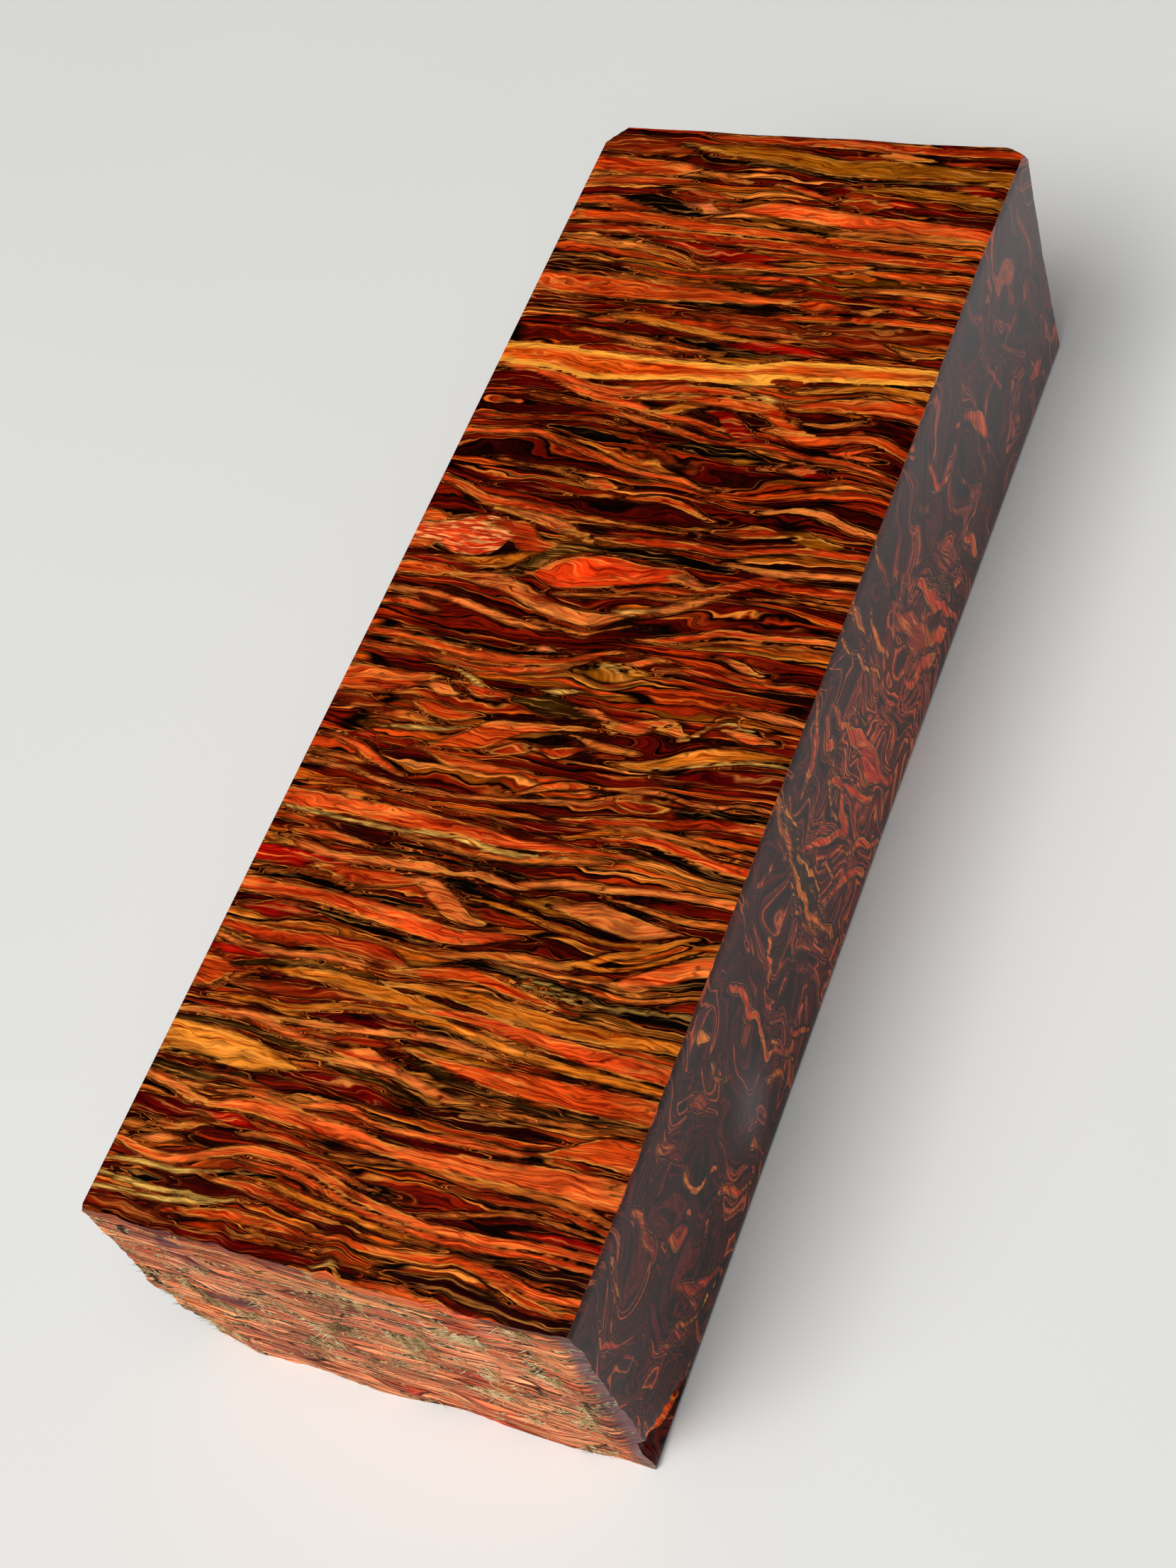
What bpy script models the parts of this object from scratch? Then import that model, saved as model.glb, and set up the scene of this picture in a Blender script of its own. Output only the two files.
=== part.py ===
"""A bar of stabilised wood: dyed wood strands pressed together in resin, cut and sanded to a block.

Metres, +Z up. The block lies on its bottom face with the origin at the middle of that face.
+Y runs along the bar to the far end and +X points out of the right-hand sanded side.
The long faces are sanded smooth. Both ends are left as the saw cut them, the rougher one at -Y.
"""

import math

import bmesh
import bpy
from mathutils import Vector, noise

MM = 0.001

# The bar
LENGTH = 130.0 * MM
WIDTH = 45.4 * MM
HEIGHT = 28.7 * MM
HALF_LENGTH = LENGTH / 2
HALF_WIDTH = WIDTH / 2

# The sanding of the long sides
EDGE_EASE = 0.45 * MM       # radius left on the long edges by the sandpaper
SIDE_TWIST = 0.20 * MM      # the sides lean out at the top at the far end, and in at the near end
SIDE_BOW = 0.35 * MM        # the right side's top edge is sanded hollow along its length

# The saw cuts across the ends
SAW_DEPTH = 0.75 * MM       # deepest hollow that the saw tore out of the near end
FAR_SAW_SHARE = 0.55        # the far end is torn this much less
FLAKE_SIZE = Vector((9.0 * MM, 1.0, 4.2 * MM))      # size of the torn flakes across and up
RIDGE_SIZE = Vector((6.5 * MM, 1.0, 1.3 * MM))     # size of the finer ridges along the grain
RIDGE_SHARE = 0.38
WORN_EDGE = 1.25 * MM       # how far the near end's right-hand edge is worn back
WORN_REACH = 2.6 * MM
UNDERCUT = 1.1 * MM         # how far the near end's lower left corner is broken back
UNDERCUT_ACROSS = 6.0 * MM
UNDERCUT_UP = 12.0 * MM

# The cuts that divide the cage before it is shaped
END_CELL = 2.0 * MM         # cells of the ends
LONG_CELL = 7.2 * MM        # cells along the bar
NEAR_ROWS = (1.5 * MM, 4.0 * MM)                   # extra rows just behind each end
CELL_GIVE = 8.0 * MM        # cells this near to an end move along with its torn surface

# Broken corners: the corner's signs in X, Y and Z, and how deep the break is along each axis
CORNER_BREAKS = {
    "far left top": ((-1, 1, 1), (1.9 * MM, 2.4 * MM, 2.2 * MM)),
    "far right top": ((1, 1, 1), (1.7 * MM, 0.9 * MM, 1.4 * MM)),
    "near left bottom": ((-1, -1, 0), (1.0 * MM, 2.2 * MM, 4.0 * MM)),
    "near left top": ((-1, -1, 1), (0.7 * MM, 0.9 * MM, 0.8 * MM)),
}

# The splinter torn off low on the right side, where it meets the near end
SPLINTER_LENGTH = 9.6 * MM
SPLINTER_LOW = 1.3 * MM
SPLINTER_HIGH = 4.9 * MM
SPLINTER_DEPTH = 2.3 * MM
SPLINTER_END_HEIGHT = 0.9 * MM

# Chips knocked out of the near end's top edge: place across, length, depth down, depth along
TOP_CHIPS = (
    (-15.6 * MM, 3.4 * MM, 1.0 * MM, 1.0 * MM),
    (19.4 * MM, 3.2 * MM, 0.8 * MM, 0.8 * MM),
)
FACET_ANGLE = math.radians(35)


def smooth_step(low, high, value):
    """0 below low, 1 above high, and a smooth rise between them."""
    share = min(1.0, max(0.0, (value - low) / (high - low)))
    return share * share * (3 - 2 * share)


def torn(x, z, seed):
    """How much the saw tore at this place, from 0 to 1."""
    flakes = noise.noise(Vector((x / FLAKE_SIZE.x, seed, z / FLAKE_SIZE.z)))
    ridges = noise.noise(Vector((x / RIDGE_SIZE.x, seed + 5, z / RIDGE_SIZE.z)))
    mixed = (1 - RIDGE_SHARE) * flakes + RIDGE_SHARE * ridges
    return min(1.0, max(0.0, 0.45 + 0.75 * mixed))


def near_end_depth(x, z):
    """How far the near end's surface lies inside the bar's full length."""
    worn = smooth_step(HALF_WIDTH - WORN_REACH, HALF_WIDTH, x)
    worn *= smooth_step(0, 0.15 * HEIGHT, z) * (1 - 0.7 * smooth_step(0.8 * HEIGHT, HEIGHT, z))
    corner = smooth_step(-HALF_WIDTH + UNDERCUT_ACROSS, -HALF_WIDTH, x) * (1 - smooth_step(0, UNDERCUT_UP, z))
    return SAW_DEPTH * torn(x, z, 0) + WORN_EDGE * worn + UNDERCUT * corner


def far_end_depth(x, z):
    return SAW_DEPTH * FAR_SAW_SHARE * torn(x, z, 11)


def side_shift(y, z, right):
    """How far a long side stands out from flat at this place."""
    along = y / HALF_LENGTH
    up = 2 * z / HEIGHT - 1
    shift = SIDE_TWIST * along * up
    if right:
        shift -= SIDE_BOW * (1 - along * along) * z / HEIGHT
    return shift


def cell_edges(low, high, cell, extra=()):
    """Places for the cuts between low and high, about a cell apart, with extra ones near both ends."""
    count = max(1, round((high - low) / cell))
    places = [low + (high - low) * n / count for n in range(1, count)]
    inner = [p for p in places if all(low + e * 1.3 < p < high - e * 1.3 for e in extra)]
    return sorted(inner + [low + e for e in extra] + [high - e for e in extra])


def block_cage():
    """A box of the bar's full size, divided where its surface is shaped."""
    cage = bmesh.new()
    bmesh.ops.create_cube(cage, size=1.0)
    bmesh.ops.scale(cage, vec=(WIDTH, LENGTH, HEIGHT), verts=cage.verts)
    bmesh.ops.translate(cage, vec=(0, 0, HEIGHT / 2), verts=cage.verts)
    cuts = (
        (Vector((1, 0, 0)), cell_edges(-HALF_WIDTH, HALF_WIDTH, END_CELL, (EDGE_EASE,))),
        (Vector((0, 1, 0)), cell_edges(-HALF_LENGTH, HALF_LENGTH, LONG_CELL, NEAR_ROWS)),
        (Vector((0, 0, 1)), cell_edges(0, HEIGHT, END_CELL, (EDGE_EASE,))),
    )
    for normal, places in cuts:
        for place in places:
            everything = cage.verts[:] + cage.edges[:] + cage.faces[:]
            bmesh.ops.bisect_plane(cage, geom=everything, plane_co=normal * place, plane_no=normal)
    return cage


def shape_surface(cage):
    """Tears the ends, twists the sides and eases the long edges."""
    eased = EDGE_EASE * (1 - math.sqrt(0.5))
    tolerance = 0.01 * MM
    for vertex in cage.verts:
        x, y, z = vertex.co
        at_side = abs(abs(x) - HALF_WIDTH) < tolerance
        at_top = abs(z - HEIGHT) < tolerance
        at_bottom = abs(z) < tolerance
        vertex.co.y += near_end_depth(x, z) * max(0, 1 - (y + HALF_LENGTH) / CELL_GIVE)
        vertex.co.y -= far_end_depth(x, z) * max(0, 1 - (HALF_LENGTH - y) / CELL_GIVE)
        if at_side:
            vertex.co.x += math.copysign(side_shift(y, z, x > 0), x)
        if at_side and (at_top or at_bottom):
            vertex.co.x -= math.copysign(eased, x)
            vertex.co.z += eased if at_bottom else -eased


def break_corner(cage, signs, depths):
    """Cuts one corner off with a sloping plane and closes the cut."""
    corner = Vector((signs[0] * HALF_WIDTH, signs[1] * HALF_LENGTH, HEIGHT if signs[2] else 0))
    inward = Vector((-signs[0] * depths[0], -signs[1] * depths[1], -depths[2] if signs[2] else depths[2]))
    normal = Vector([-1 / step for step in inward]).normalized()
    on_plane = corner + Vector((inward.x, 0, 0))
    bmesh.ops.bisect_plane(
        cage, geom=cage.verts[:] + cage.edges[:] + cage.faces[:],
        plane_co=on_plane, plane_no=normal, clear_outer=True,
    )
    rim = [edge for edge in cage.edges if edge.is_boundary]
    bmesh.ops.holes_fill(cage, edges=rim)


def finish_object(name, mesh_data, collection, material=None):
    mesh = bpy.data.meshes.new(name)
    mesh_data.to_mesh(mesh)
    mesh_data.free()
    made = bpy.data.objects.new(name, mesh)
    collection.objects.link(made)
    if material:
        mesh.materials.append(material)
    return made


def merge_flat_faces(cage):
    """Joins the cells of the flat top and bottom into one face each."""
    for up in (1, -1):
        flat = [face for face in cage.faces if face.normal.z * up > 0.99999]
        edges = {edge for face in flat for edge in face.edges}
        inside = [edge for edge in edges if all(face in flat for face in edge.link_faces)]
        bmesh.ops.dissolve_edges(cage, edges=inside, use_verts=True)


def splinter_cutter(collection):
    """A long wedge, thick at the near end, that runs out to nothing along the right side."""
    wedge = bmesh.new()
    bmesh.ops.create_cone(
        wedge, cap_ends=True, segments=5, radius1=0.5, radius2=0.04, depth=1.0,
    )
    overshoot = 1.4
    for vertex in wedge.verts:
        share = vertex.co.z + 0.5
        tall = SPLINTER_HIGH - SPLINTER_LOW
        middle = (SPLINTER_HIGH + SPLINTER_LOW) / 2
        low_end = SPLINTER_END_HEIGHT
        y = -HALF_LENGTH - overshoot * MM + share * (SPLINTER_LENGTH + overshoot * MM)
        z = middle + vertex.co.y * tall + (low_end - middle) * share
        x = HALF_WIDTH + vertex.co.x * 2 * SPLINTER_DEPTH + share * 0.2 * MM
        vertex.co = Vector((x, y, z))
    bmesh.ops.recalc_face_normals(wedge, faces=wedge.faces)
    return as_cutter(finish_object("splinter_cutter", wedge, collection))


def chip_cutter(number, chip, collection):
    """A blunt pebble shape that takes a chip out of the near end's top edge."""
    across, length, down, along = chip
    pebble = bmesh.new()
    bmesh.ops.create_icosphere(pebble, subdivisions=1, radius=1.0)
    bmesh.ops.scale(pebble, vec=(length / 2, along, down), verts=pebble.verts)
    edge = Vector((across, -HALF_LENGTH + near_end_depth(across, HEIGHT), HEIGHT))
    bmesh.ops.translate(pebble, vec=edge, verts=pebble.verts)
    return as_cutter(finish_object(f"chip_cutter_{number}", pebble, collection))


def as_cutter(cutter):
    cutter.hide_render = True
    cutter.display_type = "WIRE"
    return cutter


def wood_material():
    material = bpy.data.materials.new("stabilised wood")
    material.use_nodes = True
    shader = material.node_tree.nodes["Principled BSDF"]
    shader.inputs["Base Color"].default_value = (0.42, 0.09, 0.03, 1)
    shader.inputs["Roughness"].default_value = 0.28
    shader.inputs["Metallic"].default_value = 0.0
    return material


def new_collection(name):
    collection = bpy.data.collections.new(name)
    bpy.context.scene.collection.children.link(collection)
    return collection


def main():
    for old in list(bpy.data.objects):
        bpy.data.objects.remove(old)
    parts = new_collection("stabilised wood block")
    cutters = new_collection("cutters")

    cage = block_cage()
    shape_surface(cage)
    for signs, depths in CORNER_BREAKS.values():
        break_corner(cage, signs, depths)
    cage.normal_update()
    merge_flat_faces(cage)
    block = finish_object("block", cage, parts, wood_material())

    tools = [splinter_cutter(cutters)]
    tools += [chip_cutter(number, chip, cutters) for number, chip in enumerate(TOP_CHIPS)]
    for tool in tools:
        cut = block.modifiers.new(tool.name, "BOOLEAN")
        cut.operation = "DIFFERENCE"
        cut.solver = "EXACT"
        cut.object = tool
    block.data.shade_smooth()
    block.data.set_sharp_from_angle(angle=FACET_ANGLE)


main()
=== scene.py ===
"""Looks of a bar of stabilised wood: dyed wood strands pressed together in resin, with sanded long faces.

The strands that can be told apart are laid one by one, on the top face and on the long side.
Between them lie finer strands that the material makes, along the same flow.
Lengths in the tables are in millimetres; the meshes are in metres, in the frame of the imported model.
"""

import math
import random

import bmesh
import bpy
import numpy as np
from mathutils import Matrix, Vector, noise


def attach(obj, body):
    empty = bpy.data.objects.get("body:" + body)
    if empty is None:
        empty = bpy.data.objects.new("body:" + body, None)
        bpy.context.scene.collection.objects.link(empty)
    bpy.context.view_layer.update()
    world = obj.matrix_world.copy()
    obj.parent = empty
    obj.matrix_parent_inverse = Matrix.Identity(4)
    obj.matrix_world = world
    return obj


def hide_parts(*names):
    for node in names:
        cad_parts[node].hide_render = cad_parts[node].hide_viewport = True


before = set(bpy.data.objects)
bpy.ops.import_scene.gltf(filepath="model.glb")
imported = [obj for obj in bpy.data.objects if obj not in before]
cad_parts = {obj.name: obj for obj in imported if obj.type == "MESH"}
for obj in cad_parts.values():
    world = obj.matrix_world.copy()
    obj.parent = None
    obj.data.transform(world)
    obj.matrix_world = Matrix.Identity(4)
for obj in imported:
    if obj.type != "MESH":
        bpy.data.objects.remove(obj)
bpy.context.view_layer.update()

bl_info = {
    "name": "Stabilised wood bar",
    "version": (1, 0, 0),
    "blender": (4, 5, 0),
    "location": "3D View > Sidebar > Wood bar",
    "description": "Makes the polished and torn surfaces of a bar of stabilised wood",
    "category": "Object",
}

MM = 0.001

# Dyes of the wood, as red, green and blue from 0 to 255
DYES = {
    "salmon": (228, 100, 50),
    "bright": (238, 118, 64),
    "peach": (228, 134, 80),
    "tan": (206, 120, 60),
    "orange": (214, 92, 38),
    "rust": (188, 70, 30),
    "brown": (150, 58, 22),
    "gold": (214, 132, 50),
    "moss": (170, 108, 26),
    "cream": (248, 190, 124),
    "pink": (238, 142, 102),
    "red": (176, 30, 14),
    "wine": (118, 14, 8),
    "maroon": (58, 9, 6),
    "black": (22, 11, 5),
    "bark": (74, 50, 14),
}
# Dyes of the deep pockets, which have no pale rim
NO_RIM = {"red", "wine", "maroon", "black", "bark", "brown"}

# Strands in the top face, each a dye and the points of its middle line: x, y and thickness
TOP_STRANDS = (
    # far end, y 65 to 50
    ("brown", (-22.7, 62.8, 2.6), (-17, 62.4, 2.4), (-12.5, 62.2, 1.4)),
    ("rust", (-9, 64.3, 1.0), (0, 64.3, 1.3), (10, 64.1, 1.3), (22.7, 63.9, 1.2)),
    ("moss", (-10.5, 62.6, 0.6), (-5, 62.3, 2.3), (0, 61.5, 2.5), (5, 60.7, 2.3), (10, 60.9, 2.7),
     (16, 60.6, 2.5), (22.7, 60.4, 2.2)),
    ("tan", (8.5, 62.9, 0.4), (10.5, 62.9, 1.1), (13.5, 62.6, 0.4)),
    ("black", (-12.4, 62.7, 0.7), (-10.5, 61.3, 0.8), (-6, 60.8, 0.5), (-1, 60.4, 0.6), (3, 59.4, 0.4),
     (8, 59.0, 0.5), (15, 59.4, 0.4), (20, 59.7, 0.3)),
    ("orange", (-22.7, 59.5, 2.4), (-17, 59.3, 2.3), (-12, 59.3, 1.4), (-10.5, 59.4, 0.3)),
    ("tan", (-9.5, 59.0, 0.4), (-7, 58.4, 0.9), (-4.8, 57.9, 0.4)),
    ("salmon", (-1, 57.8, 0.4), (1.5, 57.3, 0.9), (4.3, 56.3, 0.6)),
    ("rust", (-22.7, 56.9, 1.0), (-17, 57.3, 1.2), (-12, 57.5, 0.8)),
    ("moss", (7.5, 57.8, 0.5), (12, 58.0, 1.3), (17, 57.7, 1.4), (22.7, 56.9, 1.3)),
    ("red", (17, 58.9, 0.3), (19.5, 58.7, 1.2), (22.2, 58.3, 0.5)),
    ("wine", (4.2, 57.4, 0.4), (6, 57.6, 1.4), (7.3, 58.2, 0.4)),
    ("rust", (7.6, 55.9, 0.9), (9.3, 55.7, 1.9), (10.8, 55.8, 0.6)),
    ("red", (11, 56.3, 0.5), (13, 56.0, 1.2), (15.6, 55.4, 0.6)),
    ("wine", (15, 55.4, 0.8), (19, 55.3, 0.9), (22.7, 55.2, 0.7)),
    ("salmon", (-4.2, 54.0, 0.4), (-1, 54.3, 1.9), (3, 54.1, 2.2), (8, 53.4, 2.1), (15, 53.1, 2.0),
     (22.7, 52.6, 1.9)),
    ("black", (-17, 54.7, 0.8), (-14, 54.4, 1.9), (-11, 53.6, 1.9), (-8.5, 52.9, 0.6)),
    ("pink", (-8.6, 54.3, 0.7), (-7.6, 54.0, 1.7), (-6.8, 53.5, 0.6)),
    ("rust", (-11.5, 55.9, 0.4), (-8, 55.8, 1.1), (-5.8, 55.4, 0.4)),
    ("orange", (-22.7, 54.0, 1.0), (-18.5, 54.2, 1.2), (-15, 53.3, 0.5)),
    ("black", (-22.7, 52.9, 0.5), (-20, 52.9, 0.6), (-17, 52.8, 0.2)),
    ("orange", (-22.7, 51.8, 1.4), (-14, 52.0, 1.5), (-8, 51.4, 1.4), (0, 51.0, 1.2), (8, 50.6, 1.1),
     (15, 50.3, 1.0), (22.7, 50.2, 1.0)),
    ("black", (4.8, 51.7, 0.4), (5.6, 51.4, 1.0), (6.8, 51.3, 0.3)),
    ("tan", (6.5, 51.7, 0.4), (13, 51.8, 0.8), (22.7, 51.5, 0.6)),
    ("rust", (-22.7, 50.2, 1.0), (-15, 50.2, 1.1), (-5, 49.8, 1.2), (5, 49.3, 1.3), (14, 48.7, 1.3),
     (22.7, 48.2, 1.2)),
    # y 50 to 35
    ("red", (-13, 49.0, 0.3), (-9, 48.7, 0.9), (-5, 47.8, 1.6), (-1, 47.4, 1.6), (2, 47.6, 0.5)),
    ("black", (-16.5, 49.1, 0.3), (-15, 49.0, 0.6), (-13, 48.9, 0.2)),
    ("tan", (-22.5, 48.7, 0.7), (-17, 48.2, 1.0), (-12, 47.8, 1.1), (-8, 46.7, 0.9), (-5.4, 45.5, 0.4)),
    ("orange", (-4.6, 45.9, 0.4), (0, 46.4, 0.9), (5, 46.2, 0.9), (9, 47.0, 1.1), (12, 47.5, 0.3)),
    ("orange", (11.5, 46.8, 0.4), (17, 46.5, 1.3), (22.7, 46.7, 1.2)),
    ("rust", (-14, 45.4, 0.4), (-7, 44.6, 0.7), (0, 44.9, 0.6), (5, 45.0, 0.7), (9.4, 44.1, 0.5)),
    ("maroon", (-22.7, 45.4, 1.6), (-17, 44.9, 1.4), (-13, 44.5, 0.4)),
    ("tan", (11, 44.3, 0.4), (16, 44.6, 0.9), (22.7, 44.2, 0.9)),
    ("tan", (-14.8, 43.9, 0.3), (-10, 43.6, 0.5), (-5, 43.2, 0.3)),
    ("bark", (-2.6, 43.9, 0.4), (1.6, 43.5, 1.0), (4.6, 43.7, 0.4)),
    ("orange", (-22.7, 42.4, 2.6), (-15, 42.2, 2.7), (-8, 42.0, 2.4), (-2, 42.0, 2.0), (3, 42.1, 1.0),
     (6.4, 42.5, 0.3)),
    ("orange", (6.0, 41.8, 0.6), (8.0, 41.9, 1.5), (10.6, 41.9, 0.5)),
    ("tan", (12.8, 41.6, 0.4), (13.7, 41.5, 1.3), (14.6, 41.9, 0.4)),
    ("red", (15.4, 42.3, 0.4), (17.3, 42.1, 1.3), (19, 41.8, 0.4)),
    ("rust", (13, 43.2, 0.3), (18, 43.2, 0.6), (22.7, 42.9, 0.6)),
    ("black", (-11, 40.6, 0.4), (-4, 40.9, 0.5), (1, 41.0, 0.7), (5.2, 40.9, 0.5), (7, 40.7, 0.2)),
    ("orange", (4.6, 40.0, 0.6), (10, 40.3, 0.8), (16, 40.6, 0.9), (22.7, 40.3, 0.9)),
    ("wine", (-22.7, 39.9, 1.0), (-17, 39.6, 1.1), (-11, 39.5, 0.5)),
    ("brown", (-4, 39.4, 0.5), (1, 39.3, 1.6), (5, 39.0, 1.7), (8.4, 38.5, 0.4)),
    ("brown", (9.5, 39.1, 0.6), (15, 39.0, 1.7), (22.7, 38.6, 1.9)),
    ("rust", (-8, 38.7, 0.5), (-3, 38.1, 1.2), (3, 37.9, 1.2), (9, 37.5, 0.4)),
    ("gold", (-11.4, 38.5, 0.6), (-8, 38.2, 1.0), (-5, 37.6, 0.7), (0, 36.9, 0.7), (4, 36.7, 0.3)),
    ("rust", (-15, 37.8, 0.3), (-13.5, 37.8, 0.7), (-11.6, 37.8, 0.3)),
    ("brown", (8.8, 37.7, 0.4), (12, 37.7, 1.5), (16, 37.2, 1.5), (18.8, 36.3, 0.3)),
    ("red", (0, 35.6, 0.4), (4, 36.1, 1.3), (8, 35.9, 1.2), (12, 35.4, 0.4)),
    ("black", (-5, 36.2, 0.4), (-1.5, 35.7, 1.0), (3, 35.0, 0.6), (9, 34.9, 0.3)),
    ("tan", (-15, 36.3, 0.5), (-10, 35.7, 0.8), (-5, 35.0, 0.7), (0, 34.6, 0.4)),
    ("gold", (0.2, 34.1, 0.5), (3, 34.0, 0.9), (5.2, 34.3, 0.4)),
    ("rust", (-15, 34.0, 0.5), (-10, 34.2, 1.1), (-5, 34.0, 0.5)),
    # the gold-edged band and what lies under it
    ("gold band", (-22.7, 32.2, 3.0), (-17, 32.4, 3.1), (-12, 31.8, 3.6), (-8, 31.9, 3.2), (-2, 32.2, 2.5),
     (4, 32.3, 2.6), (8, 33.1, 3.2), (11, 33.5, 2.6), (16, 33.8, 2.3), (22.7, 34.1, 2.1)),
    ("brown", (8.6, 31.9, 0.8), (9.4, 31.7, 1.1), (10.2, 31.8, 0.5)),
    ("gold", (10.2, 30.8, 0.4), (13, 31.4, 0.8), (17, 32.1, 0.9), (22.7, 31.8, 1.0)),
    ("salmon", (-22.7, 31.0, 0.4), (-18, 30.3, 1.0), (-14, 29.7, 1.1), (-11, 28.7, 1.3), (-8, 28.7, 1.3),
     (-4, 29.6, 1.1), (0, 30.0, 1.0), (4, 29.9, 0.8), (7.0, 29.5, 0.5)),
    ("cream", (6.2, 29.9, 0.4), (7.3, 29.6, 0.8), (8.1, 29.4, 0.3)),
    ("wine", (-22.7, 29.0, 1.6), (-18, 29.1, 2.0), (-15, 28.4, 0.8)),
    ("salmon", (-15.3, 29.3, 0.4), (-12.5, 28.4, 0.9), (-9, 27.6, 0.9), (-6, 27.1, 0.9), (-2, 26.2, 0.8),
     (1, 25.9, 0.7), (4.5, 25.1, 0.3)),
    ("rust", (-16, 27.1, 0.4), (-10, 26.5, 0.6), (-5, 25.5, 0.7), (0, 24.5, 0.8), (4, 23.5, 0.8),
     (8, 24.0, 0.7), (13, 23.1, 0.7), (18, 22.7, 0.7), (22.7, 21.3, 0.7)),
    ("gold", (-2.9, 26.8, 0.5), (-1.2, 27.5, 1.3), (0.6, 27.9, 0.4)),
    ("orange", (-5.5, 28.2, 0.4), (-1, 28.7, 0.9), (4, 28.6, 1.4), (8.6, 28.1, 1.2), (10, 27.4, 0.4)),
    ("red", (2.6, 27.3, 0.6), (4.6, 26.2, 2.2), (6.3, 25.0, 1.8), (7.6, 24.4, 0.5)),
    ("orange", (10, 28.9, 0.4), (13, 29.5, 1.3), (17, 29.9, 1.8), (22.7, 29.6, 2.3)),
    ("gold", (10.5, 28.6, 0.2), (14, 28.8, 0.4), (16.5, 28.5, 0.4)),
    ("tan", (11, 27.3, 0.3), (14, 27.0, 0.6), (16, 27.5, 0.8), (17.2, 28.0, 0.3)),
    ("orange", (7.8, 27.6, 0.4), (9.8, 26.6, 1.4), (12.6, 25.8, 0.4)),
    ("orange", (8.8, 25.9, 0.4), (12, 25.1, 1.2), (16, 25.5, 1.1), (19, 26.0, 1.1), (22.7, 24.5, 1.2)),
    ("salmon", (16, 23.8, 0.4), (17.8, 24.3, 0.6), (19, 24.9, 0.5)),
    ("salmon", (17.8, 23.7, 0.4), (19, 23.6, 0.8), (20.2, 23.5, 0.3)),
    ("black", (0.2, 22.7, 0.6), (3.5, 22.7, 1.5), (8, 22.2, 1.4), (10, 21.8, 0.4)),
    ("black", (-13, 23.6, 0.4), (-9, 23.0, 1.2), (-5, 22.6, 0.5)),
    ("moss", (5.8, 21.9, 0.3), (6.8, 21.7, 0.7), (8, 21.8, 0.3)),
    ("brown", (-3.6, 22.9, 0.5), (-1.2, 21.6, 1.2), (1.4, 20.4, 0.4)),
    ("brown", (-4, 21.4, 0.3), (-3, 21.2, 0.7), (-2, 21.1, 0.3)),
    ("red", (12.3, 21.3, 0.6), (13.6, 21.4, 1.5), (15, 21.0, 0.6)),
    ("pink", (10.0, 21.1, 0.2), (11.4, 22.0, 0.3), (13.2, 22.3, 0.3), (15, 21.8, 0.2)),
    ("salmon", (-22.7, 22.0, 0.6), (-18, 22.3, 0.6), (-15, 22.7, 0.7), (-11, 21.5, 0.6), (-7, 20.4, 0.6),
     (-3, 19.2, 0.6), (0, 18.9, 0.6), (2, 18.7, 0.8), (4.6, 17.9, 0.4)),
    ("tan", (15.4, 19.4, 0.3), (18, 20.1, 0.7), (20, 20.2, 0.6), (22.7, 19.8, 0.5)),
    ("rust", (-22.7, 24.0, 0.5), (-17, 24.3, 0.5), (-10, 24.9, 0.4), (-5, 24.2, 0.4)),
    ("tan", (-16.7, 18.8, 0.3), (-13, 18.4, 0.4), (-10, 18.5, 0.3)),
    ("tan", (-11.2, 18.3, 0.3), (-8.5, 17.5, 0.4), (-6.4, 16.7, 0.4)),
    ("orange", (-6.1, 17.4, 0.7), (-5.2, 17.1, 1.3), (-4.4, 17.0, 0.4)),
    ("rust", (5, 17.0, 0.3), (9, 16.4, 0.5), (12, 16.5, 0.3)),
    ("wine", (-15.5, 15.7, 0.5), (-12.5, 15.8, 1.3), (-10, 15.5, 0.5)),
    ("orange", (-2, 15.9, 0.4), (1, 16.2, 0.8), (4, 15.5, 0.9), (6.3, 14.4, 0.3)),
    ("salmon", (-22.7, 15.9, 0.8), (-20, 15.1, 0.9), (-17, 13.9, 1.1), (-13, 13.6, 1.0), (-8, 13.2, 0.6),
     (-4, 12.9, 0.5), (-2, 12.8, 0.3)),
    ("tan", (-0.5, 12.7, 0.4), (2, 12.7, 0.5), (4.2, 12.5, 0.3)),
    ("peach", (-14.5, 12.8, 0.5), (-11, 12.4, 1.1), (-8, 11.7, 1.5), (-5.4, 10.9, 0.7)),
    ("tan", (-5.7, 11.1, 0.6), (-4.4, 10.3, 0.9), (-3.3, 9.6, 0.5)),
    ("peach", (11.4, 16.0, 0.4), (15, 16.8, 0.7), (18, 16.3, 0.9), (20, 15.4, 0.9), (22.7, 14.9, 0.8)),
    ("moss", (14.6, 13.8, 0.6), (16.6, 13.6, 1.5), (19, 13.1, 0.7)),
    ("rust", (8.6, 13.2, 0.5), (11.5, 13.7, 1.5), (14.2, 13.7, 0.5)),
    ("rust", (-3, 10.8, 0.5), (1, 11.0, 1.0), (6, 11.2, 0.9), (10, 10.9, 0.8), (14, 11.9, 0.8),
     (22.7, 12.3, 1.0)),
    ("peach", (10.6, 9.7, 0.4), (14, 9.4, 0.8), (18, 9.6, 0.8), (22.7, 10.1, 0.8)),
    ("black", (-3, 9.6, 0.5), (1, 9.6, 1.1), (6, 9.4, 1.0), (10, 9.0, 0.5)),
    # the knot and the big lens
    ("orange", (-22.7, 9.4, 4.6), (-20.6, 9.4, 4.4), (-19.2, 9.2, 2.0)),
    ("knot", (-20.0, 9.2, 2.4), (-17.5, 9.2, 4.4), (-14.5, 9.6, 4.6), (-13.0, 9.7, 3.0), (-12.6, 9.7, 1.0)),
    ("rust", (-12.8, 11.0, 1.2), (-11.2, 10.0, 3.2), (-9.2, 9.0, 1.6)),
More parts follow.
